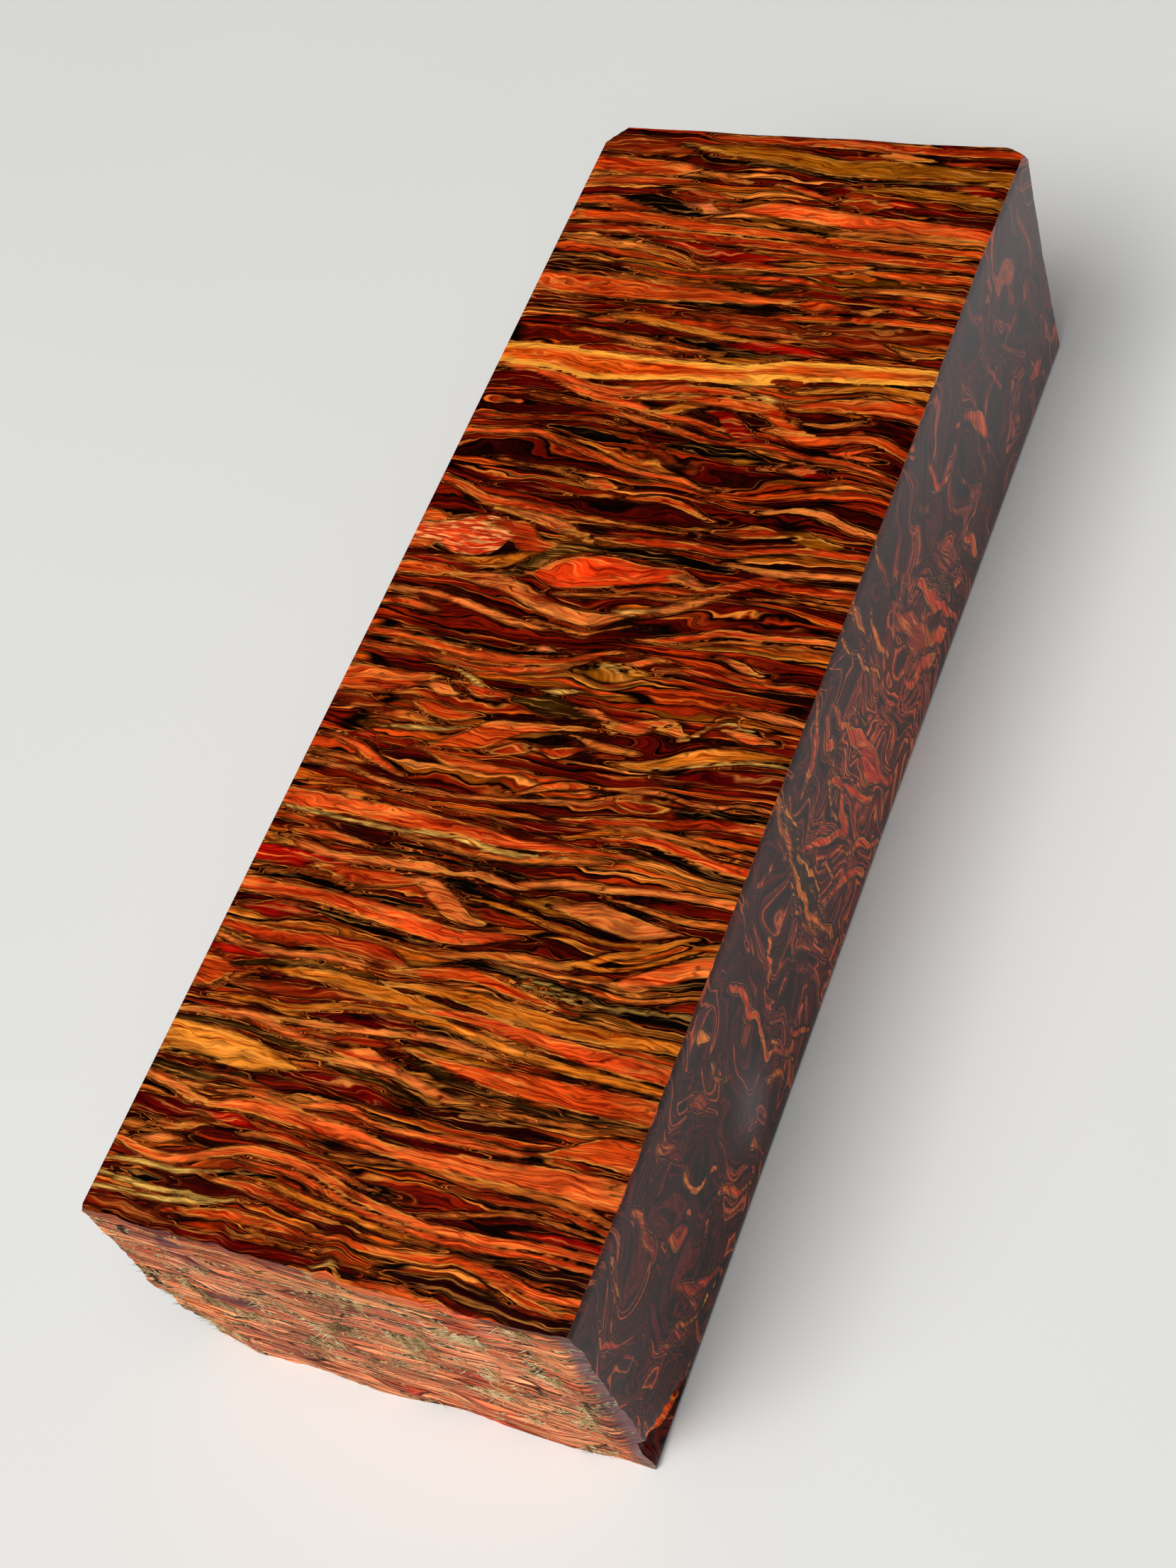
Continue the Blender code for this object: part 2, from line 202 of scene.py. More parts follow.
    ("gold", (-17.6, 6.3, 0.4), (-14, 6.4, 1.2), (-11.5, 6.9, 1.4), (-9.6, 8.0, 0.5)),
    ("bark", (-11, 5.4, 0.6), (-9, 6.8, 2.2), (-7.2, 8.6, 1.8), (-4, 9.5, 0.9)),
    ("lens", (-8.3, 5.9, 0.5), (-6.8, 6.2, 2.8), (-4, 6.6, 3.8), (-1.2, 7.1, 3.7), (1.8, 7.2, 2.4),
     (4.2, 7.5, 1.9), (6, 7.7, 1.6), (7.6, 7.1, 1.2), (8.6, 6.7, 0.5)),
    ("pink", (6.6, 7.5, 0.5), (7.5, 7.2, 0.7), (8.2, 6.9, 0.4)),
    ("tan", (-5, 3.9, 0.3), (-1, 4.4, 0.5), (3, 4.9, 0.4), (6, 5.0, 0.5), (8, 5.5, 0.3)),
    ("rust", (0.6, 5.2, 0.4), (4, 5.8, 0.8), (7, 6.0, 0.8), (9.4, 6.4, 0.4)),
    ("rust", (8.6, 6.3, 0.5), (11, 7.1, 1.2), (14, 8.2, 1.3), (17, 8.0, 1.2), (22.7, 8.0, 1.3)),
    ("tan", (13, 6.2, 0.2), (17, 6.5, 0.4), (22.7, 6.5, 0.4)),
    ("orange", (-22.7, 4.6, 1.5), (-18, 4.8, 1.4), (-15.4, 4.6, 0.5)),
    ("red", (-22.7, 5.9, 0.4), (-18, 5.9, 0.6), (-15, 5.6, 0.3)),
    ("peach", (-16.2, 4.3, 0.4), (-13, 4.5, 1.5), (-9.5, 3.8, 1.7), (-6, 2.3, 1.6), (-3, 1.7, 1.5),
     (0, 1.6, 1.4), (2.4, 2.6, 1.1), (5, 3.3, 1.0), (7.5, 4.3, 1.1), (10, 5.7, 0.7), (11.2, 6.3, 0.3)),
    ("cream", (1.6, 2.8, 0.4), (3.0, 2.9, 1.0), (4.3, 3.3, 0.4)),
    ("peach", (-22.7, 2.0, 0.7), (-16, 1.8, 0.8), (-12, 1.0, 0.8), (-8, 0.1, 0.7), (-5.2, -0.2, 0.4)),
    ("salmon", (-22.7, 0.5, 0.5), (-19, 0.6, 0.9), (-17, 0.2, 0.4)),
    ("tan", (-6, 0.5, 0.3), (-3, 0.1, 0.4), (-1, -0.2, 0.5), (1, 0.6, 0.4), (3.4, 1.5, 0.3)),
    ("salmon", (5, 0.0, 0.3), (9, 0.9, 0.7), (12, 2.0, 0.9), (16, 2.2, 0.7), (22.7, 2.7, 0.7)),
    ("tan", (9, 0.1, 0.3), (13, 1.2, 0.4), (18, 1.5, 0.4), (22.7, 1.6, 0.4)),
    ("peach", (13.4, -0.6, 0.5), (15, -1.2, 1.0), (17.1, -1.8, 0.5)),
    ("salmon", (4.8, -2.7, 0.4), (6.2, -2.2, 0.9), (7.4, -1.8, 0.4)),
    ("pink", (-4.8, -2.4, 0.3), (-4, -2.4, 0.7), (-3.2, -2.3, 0.3)),
    # y -2 to -20
    ("orange", (-22.7, -3.0, 0.8), (-18, -3.2, 0.9), (-13, -3.9, 1.0), (-5, -4.0, 0.9), (-1, -3.2, 0.7),
     (2, -1.9, 0.6), (4.4, -1.3, 0.3)),
    ("black", (-18, -2.7, 0.2), (-12, -3.0, 0.4), (-5, -3.1, 0.4), (-2, -2.5, 0.2)),
    ("rust", (-22.7, -4.8, 0.6), (-15, -4.9, 0.7), (-8, -5.4, 0.8), (-5, -5.0, 0.8), (-1, -3.9, 0.5),
     (1.5, -2.6, 0.3)),
    ("moss", (0.6, -4.2, 0.5), (2.4, -3.8, 2.2), (4.6, -3.9, 1.8), (6.6, -3.5, 0.5)),
    ("cream", (1.6, -3.6, 0.2), (2.8, -3.1, 0.4), (4.2, -3.5, 0.2)),
    ("orange", (-22.7, -8.5, 3.1), (-18, -8.4, 2.7), (-15.2, -7.9, 1.8), (-13.4, -7.1, 0.4)),
    ("red", (-19.2, -8.8, 0.3), (-17.8, -9.1, 0.8), (-16.6, -8.9, 0.3)),
    ("peach", (-13.8, -8.0, 0.4), (-12.4, -8.2, 1.3), (-10.8, -8.7, 0.4)),
    ("cream", (-11.4, -6.1, 0.3), (-9.6, -6.8, 0.6), (-7.4, -7.9, 0.3)),
    ("salmon", (-10.6, -7.3, 0.4), (-8.6, -8.0, 1.0), (-6, -8.0, 0.5)),
    ("orange", (-14.8, -9.9, 0.4), (-12, -10.7, 1.4), (-9, -10.9, 1.0), (-7.6, -10.6, 0.3)),
    ("cream", (-2.2, -6.9, 0.3), (-0.6, -6.7, 0.7), (1.2, -6.4, 0.3)),
    ("bark", (-4, -8.3, 0.6), (-1, -8.4, 2.2), (1.6, -8.6, 1.0)),
    ("peach", (2.2, -8.2, 0.3), (3.6, -8.4, 0.9), (5.2, -9.0, 0.4)),
    ("pink", (5.1, -9.5, 0.5), (5.8, -9.7, 1.3), (6.6, -9.6, 0.4)),
    ("salmon", (6.0, -9.6, 0.6), (8, -9.2, 1.4), (10, -8.5, 1.0), (11, -8.0, 0.3)),
    ("tan", (10.8, -9.0, 0.6), (11.7, -8.9, 1.4), (12.6, -9.2, 0.4)),
    ("tan", (12.4, -10.0, 0.2), (14, -8.4, 0.4), (15.2, -6.9, 0.4), (16.2, -6.6, 0.3)),
    ("cream", (13.2, -9.6, 0.2), (14.8, -8.1, 0.3), (16.2, -7.3, 0.3), (18, -7.7, 0.2)),
    ("bright", (16.4, -8.1, 0.5), (18.2, -8.5, 1.1), (20.2, -8.6, 0.5)),
    ("peach", (16, -5.9, 0.3), (19, -6.0, 0.9), (22.7, -6.2, 0.8)),
    ("rust", (8, -2.8, 0.3), (12, -2.4, 0.8), (16, -2.9, 0.7), (22.7, -2.6, 0.7)),
    ("brown", (-22.7, -11.0, 1.3), (-19.5, -11.0, 1.4), (-16.5, -11.5, 0.4)),
    ("tan", (-17, -12.0, 0.3), (-14.4, -11.7, 1.0), (-11.6, -12.1, 0.3)),
    ("cream", (-16.2, -13.3, 0.2), (-13, -12.9, 0.4), (-10, -12.6, 0.3), (-8, -11.9, 0.3)),
    ("orange", (-10.4, -14.4, 0.4), (-8, -13.4, 1.9), (-5.4, -12.3, 3.0), (-3.2, -11.4, 1.6),
     (0, -10.7, 0.8), (3.2, -10.2, 0.5)),
    ("rust", (-4.8, -14.2, 0.4), (-2.6, -13.4, 1.5), (-0.6, -13.1, 0.5)),
    ("rust", (0, -13.1, 0.5), (2, -13.1, 1.3), (3.8, -12.3, 0.3)),
    ("tan", (2.6, -11.1, 0.3), (5, -11.7, 0.8), (8.2, -11.9, 0.4)),
    ("gold", (7.6, -13.3, 0.4), (11, -12.8, 1.2), (14, -11.5, 1.8), (17, -10.6, 1.5), (20, -10.2, 0.9),
     (22.7, -10.0, 0.6)),
    ("cream", (12, -13.1, 0.2), (16, -11.8, 0.3), (20, -10.9, 0.4), (22.7, -10.8, 0.4)),
    ("wine", (12.5, -14.0, 0.5), (17, -12.9, 1.5), (22.7, -12.4, 1.7)),
    ("orange", (-11.2, -14.9, 0.4), (-8, -15.7, 1.2), (-4, -15.9, 1.0), (-0.4, -15.6, 0.3)),
    ("salmon", (-21, -15.1, 0.3), (-18, -15.7, 0.9), (-15, -17.1, 0.9), (-12.6, -18.0, 0.3)),
    ("red", (-19, -14.7, 0.3), (-17, -14.6, 0.8), (-15.4, -15.4, 0.3)),
    ("tan", (-22.7, -17.2, 0.5), (-18, -17.3, 0.6), (-15.6, -17.5, 0.3)),
    ("orange", (-0.4, -18.0, 0.3), (2, -16.8, 0.8), (5.2, -16.1, 0.6), (6, -16.0, 0.2)),
    ("peach", (-22.7, -18.2, 0.45), (-17, -18.4, 0.45), (-14, -19.0, 0.42), (-8, -19.3, 0.42),
     (-4, -19.1, 0.42), (0, -18.6, 0.42), (4, -17.9, 0.42), (7, -17.6, 0.42), (9, -16.5, 0.42),
     (11, -15.6, 0.5), (13, -15.5, 0.5), (15, -15.9, 0.5), (18, -15.9, 0.5), (20, -15.4, 0.45),
     (22.7, -15.4, 0.5)),
    ("rust", (8.6, -17.0, 0.4), (11.5, -17.2, 1.3), (14.6, -16.9, 0.4)),
    ("black", (15, -17.0, 0.4), (18, -16.9, 1.0), (22.7, -16.4, 0.6)),
    ("rust", (4.6, -19.8, 0.4), (9, -19.2, 1.0), (14, -18.5, 1.1), (18, -17.7, 1.1), (22.7, -17.4, 1.1)),
    ("tan", (-17.4, -20.7, 0.3), (-15.6, -20.8, 0.8), (-14, -20.9, 0.3)),
    ("orange", (-20, -20.2, 0.2), (-15, -19.9, 0.3), (-10, -20.3, 0.4), (-5.6, -21.0, 0.2)),
    ("wine", (-2, -20.9, 0.4), (3, -20.9, 1.2), (8, -20.4, 0.6)),
    ("gold", (5.8, -21.4, 0.4), (8, -20.6, 0.6), (11.4, -19.6, 0.3)),
    # y -20 to -37
    ("salmon", (-22.7, -22.3, 2.0), (-15, -22.2, 1.8), (-8, -22.4, 1.9), (-2, -22.7, 1.6), (2, -22.9, 1.1),
     (7, -22.5, 0.7), (12, -22.2, 0.4)),
    ("cream", (-22.7, -23.3, 0.3), (-15, -23.6, 0.4), (-10, -23.7, 0.4), (-6, -23.4, 0.5), (-3, -23.5, 0.6),
     (0, -24.0, 0.6), (3, -23.9, 0.5), (6.4, -23.5, 0.3)),
    ("tan", (-9, -24.2, 0.3), (-3, -24.5, 0.7), (2, -24.5, 0.6), (6, -23.8, 0.7), (10, -23.1, 0.4)),
    ("salmon", (9.6, -20.9, 0.4), (14, -20.3, 1.0), (17, -20.8, 1.1), (20, -21.5, 1.1), (22.7, -21.6, 1.2)),
    ("tan", (7.6, -19.9, 0.3), (14, -19.4, 0.6), (19, -19.9, 0.6), (22.7, -20.2, 0.6)),
    ("black", (10, -21.6, 0.3), (15, -21.4, 0.6), (19, -22.3, 0.9), (22.7, -22.6, 0.4)),
    ("salmon", (-19.6, -25.6, 0.4), (-16.5, -25.4, 0.9), (-12.7, -25.7, 0.4)),
    ("orange", (-22.7, -24.2, 0.9), (-20, -24.4, 0.7), (-18, -24.6, 0.2)),
    ("black", (-9, -25.1, 0.2), (-4, -25.1, 0.3), (0, -25.6, 0.3), (3.4, -26.2, 0.2)),
    ("black", (-11, -25.9, 0.2), (-6, -25.8, 0.3), (-1, -26.0, 0.3), (2.4, -26.5, 0.2)),
    ("peach", (-20.2, -26.4, 0.4), (-18, -27.0, 0.9), (-14, -27.4, 0.9), (-9, -27.0, 1.0), (-5, -26.8, 0.9),
     (-3.2, -26.8, 0.3)),
    ("peach", (-3.4, -27.1, 0.3), (-0.5, -26.6, 0.8), (3, -27.0, 0.9), (6, -26.2, 0.8), (12, -25.6, 0.8),
     (17, -25.0, 0.8), (22.7, -24.9, 0.9)),
    ("red", (-22.7, -28.4, 1.9), (-18, -28.4, 1.8), (-15.2, -28.4, 1.2)),
    ("orange", (-15.4, -28.8, 0.6), (-11, -28.9, 1.7), (-7, -28.5, 0.9), (-6, -28.4, 0.3)),
    ("peach", (-6.4, -28.0, 0.4), (-4.4, -28.8, 1.9), (-2, -30.1, 2.3), (0.4, -31.2, 0.8)),
    ("black", (-3.6, -27.6, 0.3), (-1.6, -27.9, 1.1), (0.8, -28.3, 1.2), (2.8, -28.9, 0.3)),
    ("wine", (0.4, -27.9, 0.3), (2.2, -28.1, 0.9), (4, -28.3, 0.3)),
    ("gold", (0, -29.0, 0.3), (4, -29.4, 0.5), (9, -30.3, 0.4), (14, -30.6, 0.5), (18, -29.9, 0.4),
     (20, -29.2, 0.2)),
    ("moss", (5, -28.3, 0.5), (7, -28.2, 1.7), (9.4, -28.2, 1.4)),
    ("peach", (8.8, -28.2, 0.9), (11, -28.2, 2.2), (13.5, -28.6, 2.3), (16, -28.9, 1.9), (18, -28.7, 0.9),
     (19, -28.6, 0.3)),
    ("tan", (12, -26.5, 0.3), (16, -26.9, 0.6), (20, -27.3, 0.7), (22.7, -27.0, 0.8)),
    ("black", (-22, -31.0, 0.2), (-18, -30.2, 0.6), (-14, -30.4, 0.6), (-9, -30.8, 0.8), (-5, -30.7, 0.4)),
    ("tan", (-20, -30.2, 0.2), (-17.4, -29.6, 0.3), (-14, -29.8, 0.3), (-11, -30.6, 0.2)),
    ("salmon", (-22.7, -31.8, 1.7), (-15, -31.7, 1.4), (-9, -32.0, 1.9), (-4, -32.6, 1.9), (0, -32.9, 1.6),
     (3, -32.3, 1.2), (5.2, -31.8, 0.3)),
    ("gold", (9.6, -33.6, 0.4), (12, -33.0, 0.8), (14, -31.9, 0.8), (16.5, -31.0, 0.8), (18.4, -29.9, 0.8),
     (20.4, -28.7, 0.4)),
    ("gold", (12, -33.4, 0.3), (15.5, -32.8, 0.5), (18.5, -31.4, 0.6), (21, -29.8, 0.6),
     (22.7, -29.0, 0.8)),
    ("bright", (15.2, -34.3, 0.5), (17.5, -33.6, 2.0), (20, -32.2, 2.1), (22.7, -30.9, 2.0)),
    ("black", (19, -33.9, 0.3), (21, -33.2, 0.9), (22.7, -32.6, 0.9)),
    ("red", (-20.6, -34.0, 0.5), (-18, -33.8, 1.7), (-15.2, -33.4, 0.6)),
    ("black", (-15, -33.0, 0.3), (-11, -33.4, 0.8), (-7, -33.9, 0.7), (-2, -34.1, 0.3)),
    ("tan", (-5, -34.5, 0.3), (0, -34.7, 0.8), (4, -33.9, 0.8), (8, -33.7, 0.8), (11, -33.9, 0.3)),
    ("rust", (-22.7, -36.0, 1.0), (-17, -36.2, 1.4), (-11, -35.8, 1.4), (-5, -36.2, 1.3), (-3, -36.8, 0.3)),
    ("orange", (-4.4, -37.3, 0.4), (-1, -36.7, 1.3), (3, -36.2, 1.2), (7, -36.9, 1.0), (12.6, -37.7, 0.4)),
    ("black", (2, -35.2, 0.4), (7, -35.2, 0.9), (12, -35.8, 1.0), (17, -36.4, 1.3), (22.7, -36.4, 1.2)),
    ("cream", (7.4, -35.4, 0.15), (10, -35.7, 0.25), (13.6, -36.5, 0.28), (18, -36.3, 0.28),
     (22.7, -35.7, 0.25)),
    ("cream", (7, -35.9, 0.1), (11, -36.5, 0.22), (14, -36.9, 0.15)),
    ("tan", (12, -35.0, 0.3), (16, -35.5, 0.7), (18.4, -35.3, 0.5), (22.7, -33.9, 0.6)),
    ("peach", (-22.7, -37.1, 0.5), (-19.5, -37.8, 0.6), (-15, -37.7, 0.6), (-11, -37.3, 0.7),
     (-7.4, -37.3, 0.3)),
    # y -37 to -50
    ("red", (-22.7, -38.4, 0.7), (-19, -38.4, 0.8), (-16.4, -38.3, 0.3)),
    ("bark", (-20, -39.9, 0.4), (-16.5, -39.0, 0.8), (-13, -38.4, 0.6), (-8, -38.2, 0.5), (-5, -38.4, 0.3)),
    ("moss", (-14.5, -38.3, 0.2), (-11, -37.9, 0.3), (-7, -38.0, 0.2)),
    ("gold", (-15.2, -39.4, 0.6), (-11, -39.1, 1.2), (-7, -39.3, 1.4), (-3, -39.6, 1.2), (0, -39.6, 0.9),
     (3, -39.8, 0.3)),
    ("gold", (-5, -38.6, 0.3), (-1, -38.3, 0.9), (3, -38.3, 1.3), (7, -38.7, 1.6), (11, -39.0, 1.7),
     (16, -39.1, 1.5), (22.7, -38.8, 1.2)),
    ("salmon", (-1, -40.4, 0.4), (4, -40.0, 1.1), (9, -40.5, 1.4), (14, -41.0, 1.7), (22.7, -41.3, 1.9)),
    ("orange", (-22.7, -40.9, 3.2), (-21, -40.9, 2.8), (-19.4, -40.2, 0.6)),
    ("tan", (-20, -42.2, 0.3), (-18.8, -40.9, 0.7), (-17.4, -40.0, 0.3)),
    ("brown", (-18, -41.4, 0.5), (-14, -41.2, 1.4), (-9, -40.6, 1.0), (-5, -40.3, 0.4)),
    ("gold", (-20, -43.1, 0.3), (-16, -42.6, 0.6), (-12.4, -42.7, 0.7), (-8, -41.6, 0.6), (-4, -41.0, 0.7),
     (0, -40.9, 0.8), (4, -41.3, 0.8), (8, -42.0, 0.9), (14, -42.6, 0.9), (22.7, -42.8, 0.9)),
    ("wine", (-10, -42.8, 0.3), (-6, -42.4, 1.1), (-2, -42.0, 1.3), (1.2, -42.2, 0.4)),
    ("black", (-6.6, -42.0, 0.3), (-5.7, -42.1, 0.6), (-5, -42.0, 0.2)),
    ("black", (0, -41.7, 0.3), (2.4, -41.8, 0.5), (5, -42.0, 0.3)),
    ("peach", (-14, -43.9, 0.3), (-8, -43.6, 0.7), (-3, -43.1, 0.7), (1, -42.6, 0.8), (4, -42.6, 1.0),
     (8.4, -43.1, 0.3)),
    ("rust", (-9, -44.6, 0.4), (-5, -44.3, 0.8), (-1, -43.9, 0.5)),
    ("orange", (-0.4, -44.0, 0.4), (4, -44.3, 1.5), (9, -44.8, 2.2), (15, -44.9, 2.4), (22.7, -44.8, 2.4)),
    ("moss", (0.2, -43.8, 0.3), (4, -43.7, 0.6), (9, -43.9, 0.3)),
    ("bark", (1.0, -45.0, 0.3), (4.6, -45.7, 1.1), (8, -46.3, 0.5), (12, -46.6, 0.5), (22.7, -46.2, 0.3)),
    ("bark", (-22.7, -45.7, 0.6), (-15, -45.4, 0.6), (-11, -46.0, 0.6), (-7, -46.3, 0.3)),
    ("peach", (-22.7, -44.9, 0.5), (-18, -44.4, 0.9), (-15, -44.1, 1.0), (-12, -44.9, 0.9),
     (-9, -45.3, 0.6), (-5.6, -45.5, 0.3)),
    ("bright", (-6, -45.6, 0.4), (-3.4, -45.4, 1.4), (-1, -45.9, 0.5)),
    ("peach", (-8.6, -46.7, 0.3), (-4, -46.3, 0.8), (0, -46.4, 0.8), (3, -47.1, 1.0), (6, -47.6, 0.7),
     (7.6, -47.4, 0.3)),
    ("pale gold", (-22.7, -47.6, 3.3), (-17, -47.5, 3.2), (-13, -47.8, 2.5), (-10.8, -47.9, 1.4),
     (-9.7, -48.0, 0.4)),
    ("black", (-22, -49.0, 0.2), (-19.5, -48.8, 0.35), (-17.4, -48.9, 0.2)),
    ("wine", (-10, -48.6, 0.6), (-6, -48.4, 1.5), (-2, -48.8, 1.6), (2, -49.6, 0.4)),
    ("bark", (-6.4, -47.1, 0.3), (-3.4, -47.2, 0.6), (0, -47.7, 0.6), (3, -48.4, 0.3)),
    ("tan", (8, -47.4, 0.3), (13, -47.6, 0.6), (18, -47.2, 0.4), (22.7, -46.9, 0.4)),
    ("maroon", (3, -49.1, 0.5), (8, -49.0, 1.3), (13, -48.8, 1.0), (15, -48.9, 0.3)),
    ("orange", (15.2, -50.3, 0.4), (17.6, -49.5, 1.4), (20, -48.9, 2.5), (22.7, -48.9, 2.8)),
    ("bark", (-22.7, -50.3, 0.8), (-18, -50.6, 1.2), (-14.6, -49.8, 0.6)),
    ("brown", (-17, -49.9, 0.3), (-13, -50.3, 0.6), (-10, -50.6, 0.3)),
    ("bright", (-15.4, -51.6, 0.3), (-12, -51.0, 0.5), (-8, -51.2, 0.4), (-5, -50.6, 0.7), (-3, -50.4, 0.7),
     (0, -51.1, 0.5), (4, -51.2, 0.7), (8, -50.9, 0.8), (13, -50.8, 0.5)),
    ("wine", (0, -51.8, 0.3), (5, -51.9, 0.6), (10, -51.6, 0.4)),
    ("peach", (-22.7, -51.4, 0.8), (-20, -51.8, 1.0), (-17.5, -52.6, 0.9), (-14.8, -52.9, 0.3)),
    # y -50 to the near end
    ("bright", (-15.6, -52.9, 0.5), (-12, -52.2, 1.4), (-7, -52.3, 1.6), (-2, -52.5, 1.6), (1, -53.0, 1.3),
     (5, -53.0, 1.4), (10, -52.8, 1.9), (16, -52.4, 2.4), (22.7, -52.2, 2.8)),
    ("wine", (-22.7, -54.2, 1.9), (-18, -54.0, 1.6), (-15.4, -53.6, 0.6)),
    ("red", (-15, -53.9, 0.4), (-13, -53.7, 1.3), (-10.6, -54.0, 0.4)),
    ("rust", (-11, -54.7, 0.3), (-8, -54.2, 0.8), (-4.6, -54.6, 0.3)),
    ("tan", (-2.6, -54.6, 0.3), (0, -54.4, 0.4), (5, -53.9, 0.4), (10, -54.0, 0.6), (17, -53.8, 0.7),
     (20, -54.1, 0.8), (22.7, -54.6, 0.6)),
    ("rust", (9, -54.9, 0.4), (13, -55.0, 0.7), (17, -54.6, 0.5), (22.7, -55.4, 0.5)),
    ("tan", (-20, -55.3, 0.3), (-18.6, -55.6, 0.9), (-17.4, -55.6, 0.3)),
    ("tan", (-17.2, -55.2, 0.3), (-16.2, -55.0, 1.0), (-15.2, -54.7, 0.3)),
    ("peach", (-20, -57.2, 0.3), (-18.6, -56.8, 1.0), (-17.2, -56.6, 0.3)),
    ("tan", (-22.7, -56.4, 0.6), (-21.4, -56.3, 1.1), (-20.4, -56.1, 0.3)),
    ("black", (1.6, -56.5, 0.2), (3, -56.6, 0.6), (4, -56.8, 0.2)),
    ("bright", (-22.7, -57.6, 0.7), (-19, -58.5, 0.9), (-16, -58.3, 1.0), (-13, -57.0, 0.9),
     (-10, -56.0, 0.9), (-6, -56.0, 0.9), (-2, -56.7, 0.9), (1, -57.6, 0.9), (4, -58.1, 0.9),
     (8, -58.6, 0.9), (13, -58.5, 0.9), (18, -57.9, 0.8), (22.7, -57.8, 0.8)),
    ("salmon", (-10, -57.0, 0.3), (-5, -57.1, 0.6), (-2, -57.8, 0.6), (1, -58.6, 0.6), (5, -59.1, 0.5),
     (10, -59.5, 0.6), (14, -59.3, 0.7), (18, -58.8, 0.6), (22.7, -58.9, 0.6)),
    ("bright", (-3.4, -55.7, 0.3), (-1.4, -56.0, 0.5), (2.4, -56.9, 0.3)),
    ("red", (15, -57.3, 0.3), (19, -56.9, 0.7), (22.7, -56.9, 0.8)),
    ("tan", (7, -57.8, 0.2), (11, -56.8, 0.4), (15, -55.8, 0.4), (22.7, -56.0, 0.4)),
    ("cream", (-22.7, -59.8, 0.45), (-18, -59.4, 0.55), (-15, -59.3, 0.6), (-11.8, -58.5, 0.25)),
    ("gold", (-9, -58.0, 0.3), (-4, -58.8, 0.7), (0, -59.3, 0.7), (5, -59.9, 0.6), (9, -60.0, 0.3)),
    ("rust", (-13, -59.2, 0.3), (-8, -59.3, 1.0), (-3, -60.1, 0.7), (2, -60.5, 0.3)),
    ("black", (-12, -58.9, 0.3), (-10, -58.2, 0.5), (-7, -57.8, 0.3)),
    ("cream", (-22.7, -61.2, 0.4), (-19, -61.5, 0.5), (-15, -61.3, 0.5), (-11.5, -61.0, 0.3)),
    ("cream", (-22.7, -62.6, 0.4), (-18, -62.3, 0.5), (-14, -61.9, 0.6), (-11, -61.2, 0.5),
     (-8.8, -60.6, 0.3)),
    ("black", (-20, -60.6, 0.3), (-18.6, -60.7, 1.1), (-17, -60.5, 0.3)),
    ("orange", (-15, -63.0, 0.4), (-10, -62.2, 1.0), (-5, -62.0, 0.8), (-1, -62.2, 0.3)),
    ("orange", (-1, -61.8, 0.4), (5, -61.6, 0.9), (9, -61.3, 1.1), (12, -60.9, 1.0), (15, -61.5, 1.0),
     (18, -62.6, 0.9), (20.5, -63.1, 0.7), (22.7, -63.1, 0.6)),
    ("bright", (13, -60.3, 0.3), (16, -61.0, 0.6), (19, -61.8, 0.8), (22.7, -61.9, 0.8)),
    ("maroon", (10, -60.0, 0.3), (16, -60.2, 0.8), (22.7, -60.1, 1.2)),
    ("gold", (-7.4, -62.6, 0.2), (-5, -63.1, 0.35), (-3, -63.4, 0.35), (-1.4, -63.1, 0.2)),
    ("maroon", (7, -63.2, 0.5), (13, -63.4, 1.7), (18, -64.2, 1.4), (22.7, -64.4, 1.2)),
    ("wine", (-14, -64.5, 0.8), (-7, -64.4, 1.2), (-1, -64.2, 0.9), (3, -63.9, 0.4)),
    ("brown", (-22.7, -64.0, 1.0), (-18, -63.9, 1.1), (-14.4, -64.2, 0.4)),
    ("cream", (0.6, -64.5, 0.4), (1.3, -64.3, 0.7), (2.0, -64.5, 0.3)),
    ("bright", (2.6, -64.9, 0.4), (6, -64.6, 0.9), (10, -64.8, 0.8), (12, -65.1, 0.4)),
)

